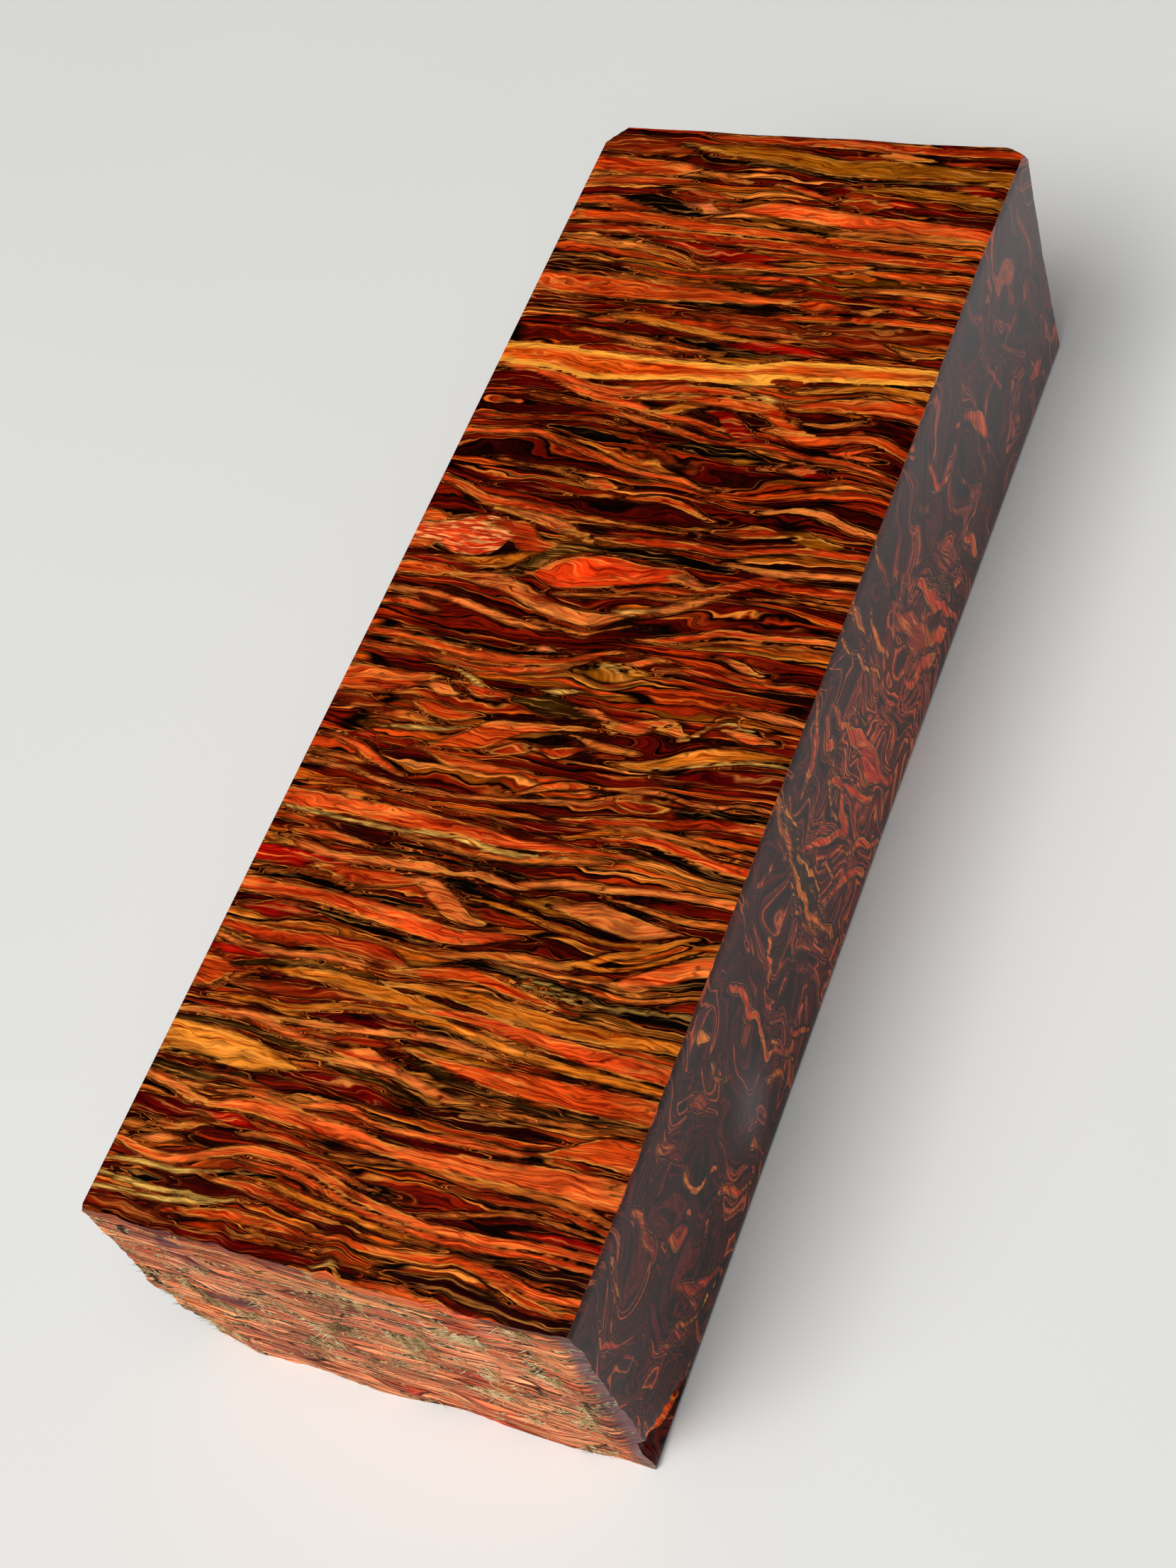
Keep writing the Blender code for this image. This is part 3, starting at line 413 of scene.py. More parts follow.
# Curled ribbons in the long right-hand side, each a dye and points along it: y, z and thickness
SIDE_RIBBONS = (
    ("brown", (15, 17, 1.2), (16.3, 12.9, 2.2), (18.3, 8.7, 2.4), (20.8, 4.5, 1.2)),
    ("rust", (0.6, 18.5, 0.8), (1.2, 16, 1.6), (1.9, 12, 1.8), (3.3, 7, 1.6), (4.8, 3.6, 0.7)),
    ("brown", (-52.9, 25.4, 0.8), (-51.7, 21.2, 1.1), (-52.5, 17.9, 0.8)),
    ("brown", (-51.7, 10.4, 0.5), (-50, 6.2, 1.1), (-47, 2.2, 0.7)),
    ("brown", (-50.3, 16, 0.6), (-48.8, 13.6, 1.4), (-47.9, 12, 0.5)),
    ("brown", (-40.8, 22.4, 0.6), (-39.2, 19.6, 1.3), (-38.6, 18.4, 0.3)),
    ("wine", (-46, 26.5, 0.6), (-45, 22, 1.2), (-44.8, 19, 0.5)),
    ("wine", (-57, 9.0, 0.6), (-55.2, 6.4, 1.2), (-53.8, 4.6, 0.4)),
    ("tan", (-14.3, 28.7, 0.6), (-15, 23.7, 0.7), (-15.2, 19.5, 0.7), (-15, 13.7, 0.7), (-14, 7.9, 0.7),
     (-12.9, 3.7, 0.4)),
    ("bark", (-13.5, 28.7, 0.5), (-14.1, 23.7, 0.5), (-14.3, 19.5, 0.5), (-14.1, 13.7, 0.5),
     (-13.2, 8.5, 0.4)),
    ("gold", (-13.0, 26, 0.2), (-13.4, 21, 0.3), (-13.4, 14, 0.3), (-12.6, 9, 0.2)),
    ("tan", (-16.2, 24.5, 0.2), (-16.5, 19, 0.3), (-16.1, 13, 0.3), (-15.1, 8, 0.2)),
    ("rust", (-13, 18.9, 0.5), (-11.7, 17.9, 0.9), (-9.6, 14.9, 0.9), (-6.7, 12, 0.9), (-5.4, 10.2, 0.9),
     (-4.6, 12.9, 0.9), (-3.7, 16.2, 0.8), (-4.4, 17.5, 0.8), (-2.9, 14.5, 0.8), (-1.2, 10.4, 0.9),
     (0.8, 6.6, 0.5)),
    ("tan", (-5.6, 13.0, 0.2), (-5.9, 16.4, 0.4), (-4.8, 18.7, 0.3)),
    ("rust", (-10.4, 23.2, 0.5), (-8.6, 23.4, 0.8), (-6.7, 24.1, 0.7), (-5, 25, 0.8), (-3.8, 26.2, 0.7),
     (-3.3, 28.7, 0.5)),
    ("rust", (-2.5, 23.7, 0.7), (-3.4, 22.6, 0.9), (-2.9, 21.2, 0.7), (-5, 19.5, 0.3)),
    ("orange", (-21.7, 19.5, 0.6), (-22.5, 17.9, 0.7), (-23.3, 18.7, 0.5), (-23.8, 15.4, 0.7),
     (-25, 15, 0.5)),
    ("rust", (-20.8, 26.2, 0.6), (-19.2, 24.1, 0.6)),
    ("rust", (-29.3, 23.3, 0.6), (-28.3, 19.5, 0.7), (-29.2, 17, 0.7), (-28.3, 13.7, 0.7),
     (-29.2, 10.4, 0.6), (-29.3, 8.3, 0.8), (-27.9, 7.3, 0.6), (-26.4, 4.2, 0.4)),
    ("tan", (-30.4, 6.6, 0.3), (-28.8, 5.0, 0.6), (-27.8, 2.6, 0.3)),
    ("tan", (3.6, 28.7, 0.3), (4.6, 26.2, 0.3), (5.8, 22, 0.4), (7.9, 17, 0.4), (8.8, 15.8, 0.3)),
    ("tan", (10.8, 23.7, 0.4), (10, 20.4, 0.8), (10.4, 17, 0.7), (11.6, 15.7, 0.5)),
    ("rust", (6.8, 28.7, 0.3), (7.7, 25, 0.5), (8.2, 21.5, 0.3)),
    ("rust", (14.2, 27.9, 0.4), (14.6, 24.5, 0.6), (14, 21.2, 0.4)),
    ("rust", (20.4, 14.3, 0.8), (21.8, 11.4, 1.1), (23.4, 7.8, 1.0), (25, 4.5, 0.9), (26.7, 1.0, 0.6)),
    ("bark", (22.4, 13.8, 0.4), (24.6, 9, 0.7), (27, 4.5, 0.6), (28.6, 1, 0.4)),
    ("orange", (19.6, 4.8, 0.7), (21.7, 4.0, 1.8), (23.6, 3.3, 0.6)),
    ("rust", (13.4, 9.4, 0.6), (15.4, 7.2, 1.1), (17.5, 4.7, 1.0), (19.2, 3.4, 0.5)),
    ("rust", (28.3, 22.9, 0.6), (29.6, 19.5, 0.9), (31.7, 17.5, 0.5)),
    ("rust", (38.3, 18.7, 0.6), (40.6, 15.6, 1.5), (42, 12, 0.9)),
    ("rust", (55.6, 5.0, 0.8), (57, 4.4, 2.0), (59.4, 3.8, 0.8)),
    ("brown", (54.4, 18.6, 0.7), (55.4, 17.6, 1.1)),
    ("rust", (32.5, 7.2, 0.6), (33.8, 4.5, 1.1), (34.4, 2.6, 0.5)),
    ("brown", (33.4, 15.8, 0.4), (36, 11, 0.7), (38, 7, 0.4)),
    ("brown", (45, 21, 0.4), (47, 16, 0.8), (48.6, 12.5, 0.4)),
    ("brown", (60, 25, 0.6), (61.5, 20, 0.9), (62, 16, 0.5)),
    ("tan", (-44.8, 17.4, 0.4), (-43.8, 13.7, 0.7), (-41.7, 11.2, 0.5)),
    ("rust", (-61.7, 23.4, 0.5), (-62.7, 21.2, 0.6), (-61.3, 18.3, 0.5)),
    ("rust", (-60.9, 16.2, 0.4), (-60.7, 12, 0.4)),
    ("tan", (-58.8, 21.2, 0.3), (-57.5, 23.7, 0.4), (-56.3, 26.2, 0.3)),
    ("tan", (-55, 7, 0.2), (-50, 2.9, 0.4), (-46.7, 0.8, 0.3)),
    ("gold", (-36.4, 25.8, 0.5), (-35.4, 25, 1.0), (-34.9, 23.6, 0.5)),
    ("tan", (-36.7, 21.2, 0.3), (-35.8, 17.9, 0.4), (-34.2, 15.8, 0.3)),
    ("rust", (-10.8, 8.7, 0.6), (-9, 6.2, 1.0), (-7.5, 4.5, 0.9), (-5, 2, 0.5)),
    ("rust", (-15, 1.7, 0.4), (-13, 1.9, 0.8), (-10.6, 2.6, 0.4)),
    ("rust", (-6.7, 7.9, 0.5), (-3.3, 4.5, 0.9), (-0.8, 0.9, 0.6)),
    ("rust", (-27.5, 8.7, 0.4), (-26.3, 5.4, 0.5), (-25.4, 2.8, 0.3)),
    ("rust", (-24.2, 6.2, 0.4), (-21.7, 1.4, 0.5)),
    ("rust", (-17.2, 17, 0.3), (-16.9, 13.7, 0.4), (-17.6, 11.2, 0.3)),
    ("rust", (-1.0, 24, 0.6), (-0.3, 20.6, 0.8), (1.0, 18.6, 0.4)),
    ("tan", (2.7, 19.8, 0.2), (3.6, 14.5, 0.3)),
    ("rust", (-9.0, 9.5, 0.2), (-10.4, 12.6, 0.4), (-11.8, 13.4, 0.2)),
    ("rust", (-42.2, 9, 0.4), (-40.4, 5.2, 0.7), (-38.6, 2.2, 0.4)),
    ("rust", (-35.8, 5, 0.3), (-34.6, 2, 0.4)),
    ("orange", (-65, 4.6, 0.8), (-62.4, 2.6, 1.2), (-58, 1.2, 0.8), (-55.5, 0.8, 0.3)),
)

# Torn flakes of the near end, each a dye, its middle x and z, and half its width and height
END_FLAKES = (
    ("peach", -21.6, 23.4, 1.6, 1.7), ("pink", -16.4, 21.2, 1.7, 1.5), ("plum", -14.9, 24.4, 1.5, 2.3),
    ("flesh", -19.0, 25.6, 2.2, 1.8), ("clay", -19.2, 22.6, 1.6, 1.4), ("clay", -11.4, 26.2, 2.6, 1.8),
    ("flesh", -6.0, 27.0, 3.2, 1.0), ("straw", -3.6, 24.2, 4.6, 2.2), ("clay", -3.2, 21.6, 4.2, 1.3),
    ("flesh", -10.0, 20.6, 2.9, 3.0), ("clay", -5.0, 18.6, 2.7, 2.3), ("flesh", -15.6, 18.2, 2.1, 1.6),
    ("clay", -19.8, 19.2, 2.4, 1.8), ("flesh", 4.3, 21.4, 1.9, 2.7), ("straw", 6.6, 25.8, 4.2, 1.9),
    ("flesh", 7.4, 22.6, 1.5, 1.9), ("flesh", 10.6, 18.2, 2.8, 2.3), ("red", 16.4, 20.4, 2.5, 1.6),
    ("peach", 20.4, 24.8, 1.9, 2.0), ("flesh", 15.8, 24.6, 2.2, 2.2), ("red", 12.2, 26.4, 1.6, 1.8),
    ("peach", -19.8, 13.6, 2.3, 2.2), ("orange", -18.2, 9.8, 2.9, 2.1), ("plum", -13.6, 15.2, 2.1, 2.0),
    ("flesh", -8.6, 12.9, 2.7, 3.1), ("straw", -8.4, 16.6, 1.9, 0.9), ("peach", -1.8, 12.0, 2.3, 2.8),
    ("flesh", -3.6, 8.8, 1.6, 1.2), ("clay", 2.6, 10.8, 2.3, 1.8), ("red", 7.9, 11.9, 2.7, 1.7),
    ("orange", 12.0, 11.8, 1.5, 1.3), ("clay", 8.2, 15.2, 2.4, 1.3), ("flesh", 17.0, 15.0, 3.8, 2.0),
    ("clay", 15.6, 10.6, 2.8, 2.7), ("straw", 1.6, 15.4, 2.1, 1.4), ("peach", 3.8, 7.2, 8.6, 1.6),
    ("peach", 16.4, 6.2, 2.5, 1.1), ("clay", -14.4, 5.8, 4.4, 1.2), ("flesh", -12.0, 7.8, 2.7, 0.8),
    ("clay", -17.6, 6.0, 2.4, 1.6), ("flesh", -5.4, 5.2, 3.2, 0.9), ("clay", 2.8, 4.4, 6.0, 0.8),
    ("red", 3.8, 2.9, 9.2, 0.8), ("flesh", 17.4, 3.2, 3.8, 1.4), ("clay", -9.0, 3.2, 5.6, 1.0),
    ("flesh", -13.5, 1.4, 4.6, 0.9), ("clay", -3.0, 1.4, 4.0, 0.8), ("red", 8.0, 1.2, 5.0, 0.7),
    ("plum", 21.4, 9.0, 1.2, 4.6), ("clay", 21.2, 18.6, 1.4, 3.2), ("flesh", 0.2, 18.0, 2.0, 1.6),
)
END_DYES = {
    "peach": (236, 150, 104), "pink": (240, 176, 140), "plum": (112, 86, 90), "flesh": (214, 136, 104),
    "clay": (178, 112, 84), "straw": (204, 158, 106), "red": (186, 74, 54), "orange": (232, 126, 76),
}

# How bright the wood between the strands is along the bar: y and tone
TONE_ALONG = ((-65, -0.10), (-60, 0.0), (-52, 0.10), (-36, 0.12), (-22, 0.06), (-16, 0.0), (-4, -0.02),
              (4, -0.04), (9, -0.10), (16, -0.08), (27, -0.06), (33, 0.04), (45, 0.10), (65, 0.14))
UNDER_TONE = -0.10
END_TONE = 0.10

# The dull, worn band along the near end's right edge: its colour, the painted sheen over it, and how far in
# it starts and is full, in mm
WORN_DYE = (128, 72, 74)
WORN_SHEEN = 0.20
WORN_START = 1.4
WORN_FULL = 0.6
FAR_TEAR = 0.85

# Colour scales of the material: a place from 0 to 1 and the dye there
SEAM_SCALE = (
    (0.40, (12, 5, 2)), (0.50, (44, 22, 4)), (0.57, (128, 50, 16)), (0.63, (232, 150, 80)),
    (0.68, (50, 18, 5)),
)
FINE_SCALE = (
    (0.00, (40, 12, 4)), (0.14, (74, 13, 5)), (0.27, (106, 20, 7)), (0.40, (132, 30, 9)),
    (0.52, (152, 46, 13)), (0.62, (178, 62, 20)), (0.73, (222, 96, 42)), (0.83, (210, 116, 40)),
    (0.92, (112, 70, 14)), (1.00, (246, 160, 90)),
)
DULL_SWIRLS = (
    (0.30, (12, 6, 5)), (0.38, (80, 26, 20)), (0.42, (16, 7, 6)), (0.47, (114, 38, 28)), (0.50, (70, 22, 16)),
    (0.52, (12, 6, 5)), (0.56, (100, 34, 25)), (0.595, (16, 8, 7)), (0.62, (200, 110, 76)),
    (0.65, (84, 28, 20)), (0.72, (20, 9, 7)),
)
BRIGHT_SWIRLS = (
    (0.30, (30, 12, 8)), (0.36, (124, 42, 26)), (0.39, (34, 12, 9)), (0.43, (160, 64, 40)),
    (0.455, (224, 122, 76)), (0.475, (60, 18, 12)), (0.51, (128, 42, 26)), (0.530, (30, 11, 8)),
    (0.550, (232, 132, 84)), (0.575, (150, 58, 34)), (0.60, (44, 15, 10)), (0.63, (196, 92, 56)),
    (0.67, (84, 26, 16)), (0.74, (24, 10, 7)),
)
SAWN_SCALE = (
    (0.00, (104, 38, 26)), (0.18, (186, 80, 50)), (0.36, (234, 128, 80)), (0.54, (255, 172, 114)),
    (0.68, (190, 104, 62)), (0.82, (250, 116, 52)), (0.94, (186, 40, 28)), (1.00, (132, 72, 44)),
)
FUZZ_SCALE = ((0.36, (46, 34, 24)), (0.46, (110, 92, 58)), (0.56, (206, 186, 126)), (0.66, (250, 236, 186)))
FIBRE_SCALE = ((0.30, (110, 80, 46)), (0.50, (186, 156, 104)), (0.70, (226, 204, 158)))

# Single dyes of the material's details
DETAIL_DYES = {
    "lit streak": (255, 184, 112),
    "crack": (52, 14, 4),
    "pale rim": (242, 178, 100),
    "golden rim": (255, 196, 100),
    "knot fold": (255, 196, 150),
    "pale line": (240, 170, 90),
    "resin line": (20, 7, 2),
    "torn gap": (40, 16, 10),
}
DARK_STREAK = (0.52, 0.24, 0.13)

# How the resin deepens the colours, how bright the top is and how much brighter the long sides are
RESIN_DEPTH = 1.24
TOP_GAIN = 1.22
SIDE_GAIN = 0.44

# The surface of the sawn ends, and the relief everywhere
SAWN_ROUGHNESS = 0.85
RELIEF_STRENGTH = 0.9
RELIEF_DEPTH = 0.35 * MM

# The bar, as in the solid it stands for
LENGTH = 130.0 * MM
WIDTH = 45.4 * MM
HEIGHT = 28.7 * MM
HALF_LENGTH = LENGTH / 2
HALF_WIDTH = WIDTH / 2
EDGE_EASE = 0.45 * MM
SIDE_TWIST = 0.20 * MM
SIDE_BOW = 0.35 * MM
SAW_DEPTH = 0.75 * MM
FAR_SAW_SHARE = 0.55
FLAKE_SIZE = Vector((9.0 * MM, 1.0, 4.2 * MM))
RIDGE_SIZE = Vector((6.5 * MM, 1.0, 1.3 * MM))
RIDGE_SHARE = 0.38
WORN_EDGE = 0.85 * MM
WORN_REACH = 1.7 * MM
UNDERCUT = 1.1 * MM
UNDERCUT_ACROSS = 6.0 * MM
UNDERCUT_UP = 12.0 * MM
CELL_GIVE = 8.0 * MM
CORNER_BREAKS = (
    ((-1, 1, 1), (1.9, 2.4, 2.2)),
    ((1, 1, 1), (1.7, 0.9, 1.4)),
    ((-1, -1, 0), (1.0, 2.2, 4.0)),
    ((-1, -1, 1), (0.7, 0.9, 0.8)),
)
SPLINTER_LENGTH = 9.6 * MM
SPLINTER_LOW = 1.3 * MM
SPLINTER_HIGH = 4.9 * MM
SPLINTER_DEPTH = 1.15 * MM
SPLINTER_END_HEIGHT = 0.9 * MM
SPLINTER_END_HALF = 0.1 * MM

# How the layers bend where the strands are cut across: the bends' sizes in mm, a seed and their reach in mm
CURLS = (((12, 9, 8), 3.0, 5.0), ((6, 4.5, 3.6), 7.0, 2.2))
FOLDS_ALONG = (((40, 10, 9), 31.0, 6.5), ((40, 4.2, 3.8), 35.0, 2.4))
FOLDS_UP = (((40, 10, 10), 43.0, 6.0), ((40, 4.4, 4.0), 47.0, 2.2))
SWAY_ALONG = (((40, 3.4, 3.0), 51.0, 1.3),)
SWAY_UP = (((40, 3.4, 3.0), 55.0, 1.3),)

# The marbling of the long sides: its darkest tone, and the lighter middle's place, reach and gain
MARBLING_TONE = -0.16
MIDDLE_PLACE = 4
MIDDLE_REACH = 24
MIDDLE_GAIN = 0.30

# A painted soft highlight on the long sides: its place and its reach along and up, and its strength
HIGHLIGHT_PLACE = (-33.5, 8.5)
HIGHLIGHT_REACH = (3.2, 4.5)
HIGHLIGHT_STRENGTH = 0.26
# How much of the painted sheen the left side gets
LEFT_SHEEN_SHARE = 0.7

# The standing fibres: where their roots are across and up, in mm, and how thick each is at root and tip
ROOTS_ACROSS = (-22, 22)
ROOTS_UP = (0.6, 27.6)
FIBRE_ROOT = 0.055 * MM
FIBRE_TIP = 0.012 * MM

# How finely the bar is divided across, along and up, and the angle from which an edge is sharp
CELLS = (76, 521, 40)
SHARP_FROM = math.radians(38)

# The thinnest strand and ribbon that the fine bar can show, in mm, and how ribbons differ from strands
THINNEST = 0.30
THINNEST_RIBBON = 0.45
RIBBON_WIDENING = 1.25
RIBBON_GAIN = 1.5


def linear(dye):
    """A colour of 0 to 255 as a shader reads it."""
    return tuple(((c / 255 + 0.055) / 1.055) ** 2.4 if c > 10 else c / 255 / 12.92 for c in dye)


def detail(name):
    """The colour of one of the material's details."""
    return linear(DETAIL_DYES[name])


def smooth_step(low, high, value):
    """0 at low, 1 at high, and a smooth rise between them, for numbers or arrays."""
    share = np.clip((value - low) / (high - low), 0.0, 1.0)
    return share * share * (3 - 2 * share)


def noise_over(points, scale, shift=0.0):
    """Smooth noise of -1 to 1 at each row of points, with one scale for each axis."""
    scaled = points / np.array(scale) + shift
    return np.array([noise.noise(Vector(row)) for row in scaled])


def bends(points, table, mirrored):
    """How far bends of several sizes push each row of points, in mm."""
    return sum(noise_over(points, sizes, seed * mirrored) * reach for sizes, seed, reach in table)


def smooth_line(points, step=0.25):
    """The rows of a strand's points, read from a smooth curve at even steps of the first column."""
    rows = np.array(points, float)
    at = rows[:, 0]
    count = max(2, int((at[-1] - at[0]) / step) + 1)
    fine = np.linspace(at[0], at[-1], count)
    out = [fine]
    gap = np.diff(at)
    cell = np.clip(np.searchsorted(at, fine, side="right") - 1, 0, len(at) - 2)
    t = (fine - at[cell]) / gap[cell]
    for column in (1, 2):
        value = rows[:, column]
        slope = np.gradient(value, at)
        a, b = value[cell], value[cell + 1]
        da, db = slope[cell] * gap[cell], slope[cell + 1] * gap[cell]
        out.append(a + t * da + t * t * (3 * (b - a) - 2 * da - db) + t ** 3 * (2 * (a - b) + da + db))
    return np.array(out)


def fine_ribbon(points, step=0.4):
    """Points of a curled ribbon, rounded by a spline through them, as rows of y, z and thickness."""
    rows = np.array(points, float)
    along = np.concatenate(([0.0], np.cumsum(np.hypot(*np.diff(rows[:, :2], axis=0).T))))
    curves = [smooth_line(np.stack([along, rows[:, k], rows[:, k]], 1), step)[1] for k in range(3)]
    return np.array(curves).T


class Dyeing:
    """Which strand shows at each place: its dye, how far inside it the place is, and its folds."""

    def __init__(self, count):
        self.inside = np.full(count, -9.0)
        self.dye = np.tile(np.array([*linear(DYES["brown"]), 0.0]), (count, 1))
        self.ripple = np.zeros(count)

    def lay(self, places, depth, dye, rim):
        """Lays one strand over the others: depth is how far inside it each of the places is."""
        now = self.inside[places]
        over = depth > 0
        both_out = ~over & (now <= 0)
        nearer = over | (both_out & (depth > now))
        edge = np.where(over, depth, np.where(now > 0, np.minimum(now, -depth), np.maximum(now, depth)))
        self.inside[places] = edge
        shown = places[nearer]
        self.dye[shown, :3] = dye
        self.dye[shown, 3] = rim
        return shown


def strand_dye(name):
    """The colour of a strand and how strong its pale rim is."""
    special = {
        "gold band": ((230, 104, 34), 2.0),
        "pale gold": ((236, 160, 74), 1.0),
        "knot": ((232, 92, 56), 0.6),
        "lens": ((230, 80, 34), 0.7),
    }
    if name in special:
        colour, rim = special[name]
        return linear(colour), rim
    return linear(DYES[name]), 0.0 if name in NO_RIM else 1.0


def lay_top_strands(dyeing, x, y, below):
    """Lays the strands of the top face at places x, y in mm, and returns how far they push the flow aside."""
    pushed = np.zeros(len(x))
    weight = np.full(len(x), 0.12)
    depth_random = random.Random(8)
    for name, *points in TOP_STRANDS:
        line = smooth_line(points)
        reach = depth_random.uniform(5, 20)
        wide = line[2].max() / 2
        near = np.flatnonzero((y > line[1].min() - wide - 4) & (y < line[1].max() + wide + 4))
        if not len(near):
            continue
        at = np.clip(x[near], line[0, 0], line[0, -1])
        middle = np.interp(at, line[0], line[1])
        half = np.maximum(np.interp(at, line[0], line[2]), THINNEST) / 2
        half = half * np.sqrt(np.clip(1 - (below[near] / reach) ** 2, 0, 1)) - 0.5 * (below[near] > reach)
        past = x[near] - at
        away = y[near] - middle
        depth = half - np.hypot(away, 0.22 * past)
        dye, rim = strand_dye(name)
        wide_share = smooth_step(0.5, 1.2, 2 * wide)
        dye = np.minimum(1.0, np.array(dye) * (1.35 - 0.35 * wide_share))
        shown = dyeing.lay(near, depth, dye, rim * wide_share)
        dyeing.ripple[shown] = 1.0 if name == "knot" else 0.0
        if line[0, -1] - line[0, 0] > 5:
            edge_side = np.clip(away / (half + 0.4), -1, 1)
            rest = line[1].mean() + edge_side * (half.mean() - half)
            pull = np.exp(-((away / (1.1 + half)) ** 2) - (past / 7) ** 2)
            pull = pull * min(1.0, (line[0, -1] - line[0, 0]) / 15)
            pushed[near] += pull * (middle - rest)
            weight[near] += pull
    return pushed / weight


def lay_ribbons(dyeing, y, z):
    """Lays the curled ribbons of a long side at places y, z in mm."""
    for name, *points in SIDE_RIBBONS:
        ribbon = fine_ribbon(points)
        low, high = ribbon[:, :2].min(0) - 3, ribbon[:, :2].max(0) + 3
        near = np.flatnonzero((y > low[0]) & (y < high[0]) & (z > low[1]) & (z < high[1]))
        if not len(near):
            continue
        gap = np.hypot(y[near, None] - ribbon[None, :, 0], z[near, None] - ribbon[None, :, 1])
        thick = np.maximum(RIBBON_WIDENING * ribbon[None, :, 2], THINNEST_RIBBON)
        depth = (thick / 2 - gap).max(1)
        dye, rim = strand_dye(name)
        dyeing.lay(near, depth, np.minimum(1.0, RIBBON_GAIN * np.array(dye)), rim * 0.8)


def end_flakes(x, z):
    """How far inside the nearest torn flake of an end each place is, in mm, and that flake's number."""
    depth = np.full(len(x), -9.0)
    second = np.full(len(x), -9.0)
    flake = np.zeros(len(x), int)
    for number, (_, across, up, wide, tall) in enumerate(END_FLAKES):
        ratio = np.hypot((x - across) / wide, (z - up) / tall)
        here = (1 - ratio) * min(wide, tall)
        nearer = here > depth
        second = np.where(nearer, depth, np.maximum(second, here))
        depth = np.where(nearer, here, depth)
        flake = np.where(nearer, number, flake)
    return np.minimum(depth + 0.5, (depth - second) / 2 + 0.05), flake


def torn(x, z, seed):
    """How much the saw tore at this place, from 0 to 1."""
    flakes = noise.noise(Vector((x / FLAKE_SIZE.x, seed, z / FLAKE_SIZE.z)))
    ridges = noise.noise(Vector((x / RIDGE_SIZE.x, seed + 5, z / RIDGE_SIZE.z)))
    mixed = (1 - RIDGE_SHARE) * flakes + RIDGE_SHARE * ridges
    return min(1.0, max(0.0, 0.45 + 0.75 * mixed))


def near_end_depth(x, z):
    """How far the near end's surface lies inside the bar's full length."""
    worn = smooth_step(HALF_WIDTH - WORN_REACH, HALF_WIDTH, x)
    worn *= smooth_step(0, 0.15 * HEIGHT, z) * (1 - 0.7 * smooth_step(0.8 * HEIGHT, HEIGHT, z))
    corner = smooth_step(-HALF_WIDTH + UNDERCUT_ACROSS, -HALF_WIDTH, x) * (1 - smooth_step(0, UNDERCUT_UP, z))
    crumb = noise.noise(Vector((x / (1.3 * MM), 3.0, z / (0.8 * MM)))) * 0.12 * MM
    crumb += noise.noise(Vector((x / (3.5 * MM), 7.0, z / (0.7 * MM)))) * 0.10 * MM
    rag = noise.noise(Vector((x / (2.6 * MM), 1.0, 4.0)))
    top_rag = smooth_step(0.93 * HEIGHT, HEIGHT, z) * max(0.0, rag)
    return SAW_DEPTH * torn(x, z, 0) + WORN_EDGE * worn + UNDERCUT * corner + abs(crumb) + 0.8 * MM * top_rag


def far_end_depth(x, z):
    """How far the far end's surface lies inside the bar's full length."""
    crumb = noise.noise(Vector((x / (1.3 * MM), 13.0, z / (0.8 * MM)))) * 0.08 * MM
    return SAW_DEPTH * FAR_SAW_SHARE * torn(x, z, 11) + abs(crumb)


def side_shift(y, z, right):
    """How far a long side stands out from flat at this place."""
    along = y / HALF_LENGTH
    up = 2 * z / HEIGHT - 1
    shift = SIDE_TWIST * along * up
    if right:
        shift -= SIDE_BOW * (1 - along * along) * z / HEIGHT
    return shift


def divided_box():
    """A box of the bar's full size, cut into fine cells, with its underside left as one face."""
    box = bmesh.new()
    bmesh.ops.create_cube(box, size=1.0)
    bmesh.ops.scale(box, vec=(WIDTH, LENGTH, HEIGHT), verts=box.verts)
    bmesh.ops.translate(box, vec=(0, 0, HEIGHT / 2), verts=box.verts)
    for axis, count in enumerate(CELLS):
        along = [e for e in box.edges if abs((e.verts[0].co - e.verts[1].co).normalized()[axis]) > 0.99]
        bmesh.ops.subdivide_edges(box, edges=along, cuts=count - 1, use_grid_fill=True)
    under = [face for face in box.faces if face.normal.z < -0.5]
    bmesh.ops.delete(box, geom=under, context="FACES")
    rim = [edge for edge in box.edges if edge.is_boundary]
    bmesh.ops.holes_fill(box, edges=rim)
    bmesh.ops.recalc_face_normals(box, faces=box.faces)
    return box


SIDES = ("top", "under", "right", "left", "near", "far")


def side_of(normal):
    """The name of the side of the box that a face belongs to."""
    if abs(normal.z) > 0.5:
        return SIDES.index("top" if normal.z > 0 else "under")
    if abs(normal.x) > 0.5:
        return SIDES.index("right" if normal.x > 0 else "left")
    return SIDES.index("near" if normal.y < 0 else "far")


def shape_bar(box):
    """Tears the ends, twists the sides, eases the long edges and breaks the corners of the fine box."""
    for vertex in box.verts:
        x, y, z = vertex.co
        near_share = max(0, 1 - (y + HALF_LENGTH) / CELL_GIVE)
        far_share = max(0, 1 - (HALF_LENGTH - y) / CELL_GIVE)
        if near_share:
            vertex.co.y += near_end_depth(x, z) * near_share
        if far_share:
            vertex.co.y -= far_end_depth(x, z) * far_share
        at_side = HALF_WIDTH - abs(x) < 0.01 * MM
        inset = EDGE_EASE - (HALF_WIDTH - abs(x))
        rise = EDGE_EASE - min(z, HEIGHT - z)
        if at_side:
            vertex.co.x += math.copysign(side_shift(y, z, x > 0), x)
        if inset > 0 and rise > 0:
            reach = math.hypot(inset, rise)
            full = max(inset, rise)
            vertex.co.x -= math.copysign(inset * (1 - full / reach), x)
            vertex.co.z -= math.copysign(rise * (1 - full / reach), z - HEIGHT / 2)
        break_vertex(vertex, x, y, z)
        if x > HALF_WIDTH - 3 * MM and y < -HALF_LENGTH + SPLINTER_LENGTH:
            take_splinter(vertex, x, y, z)


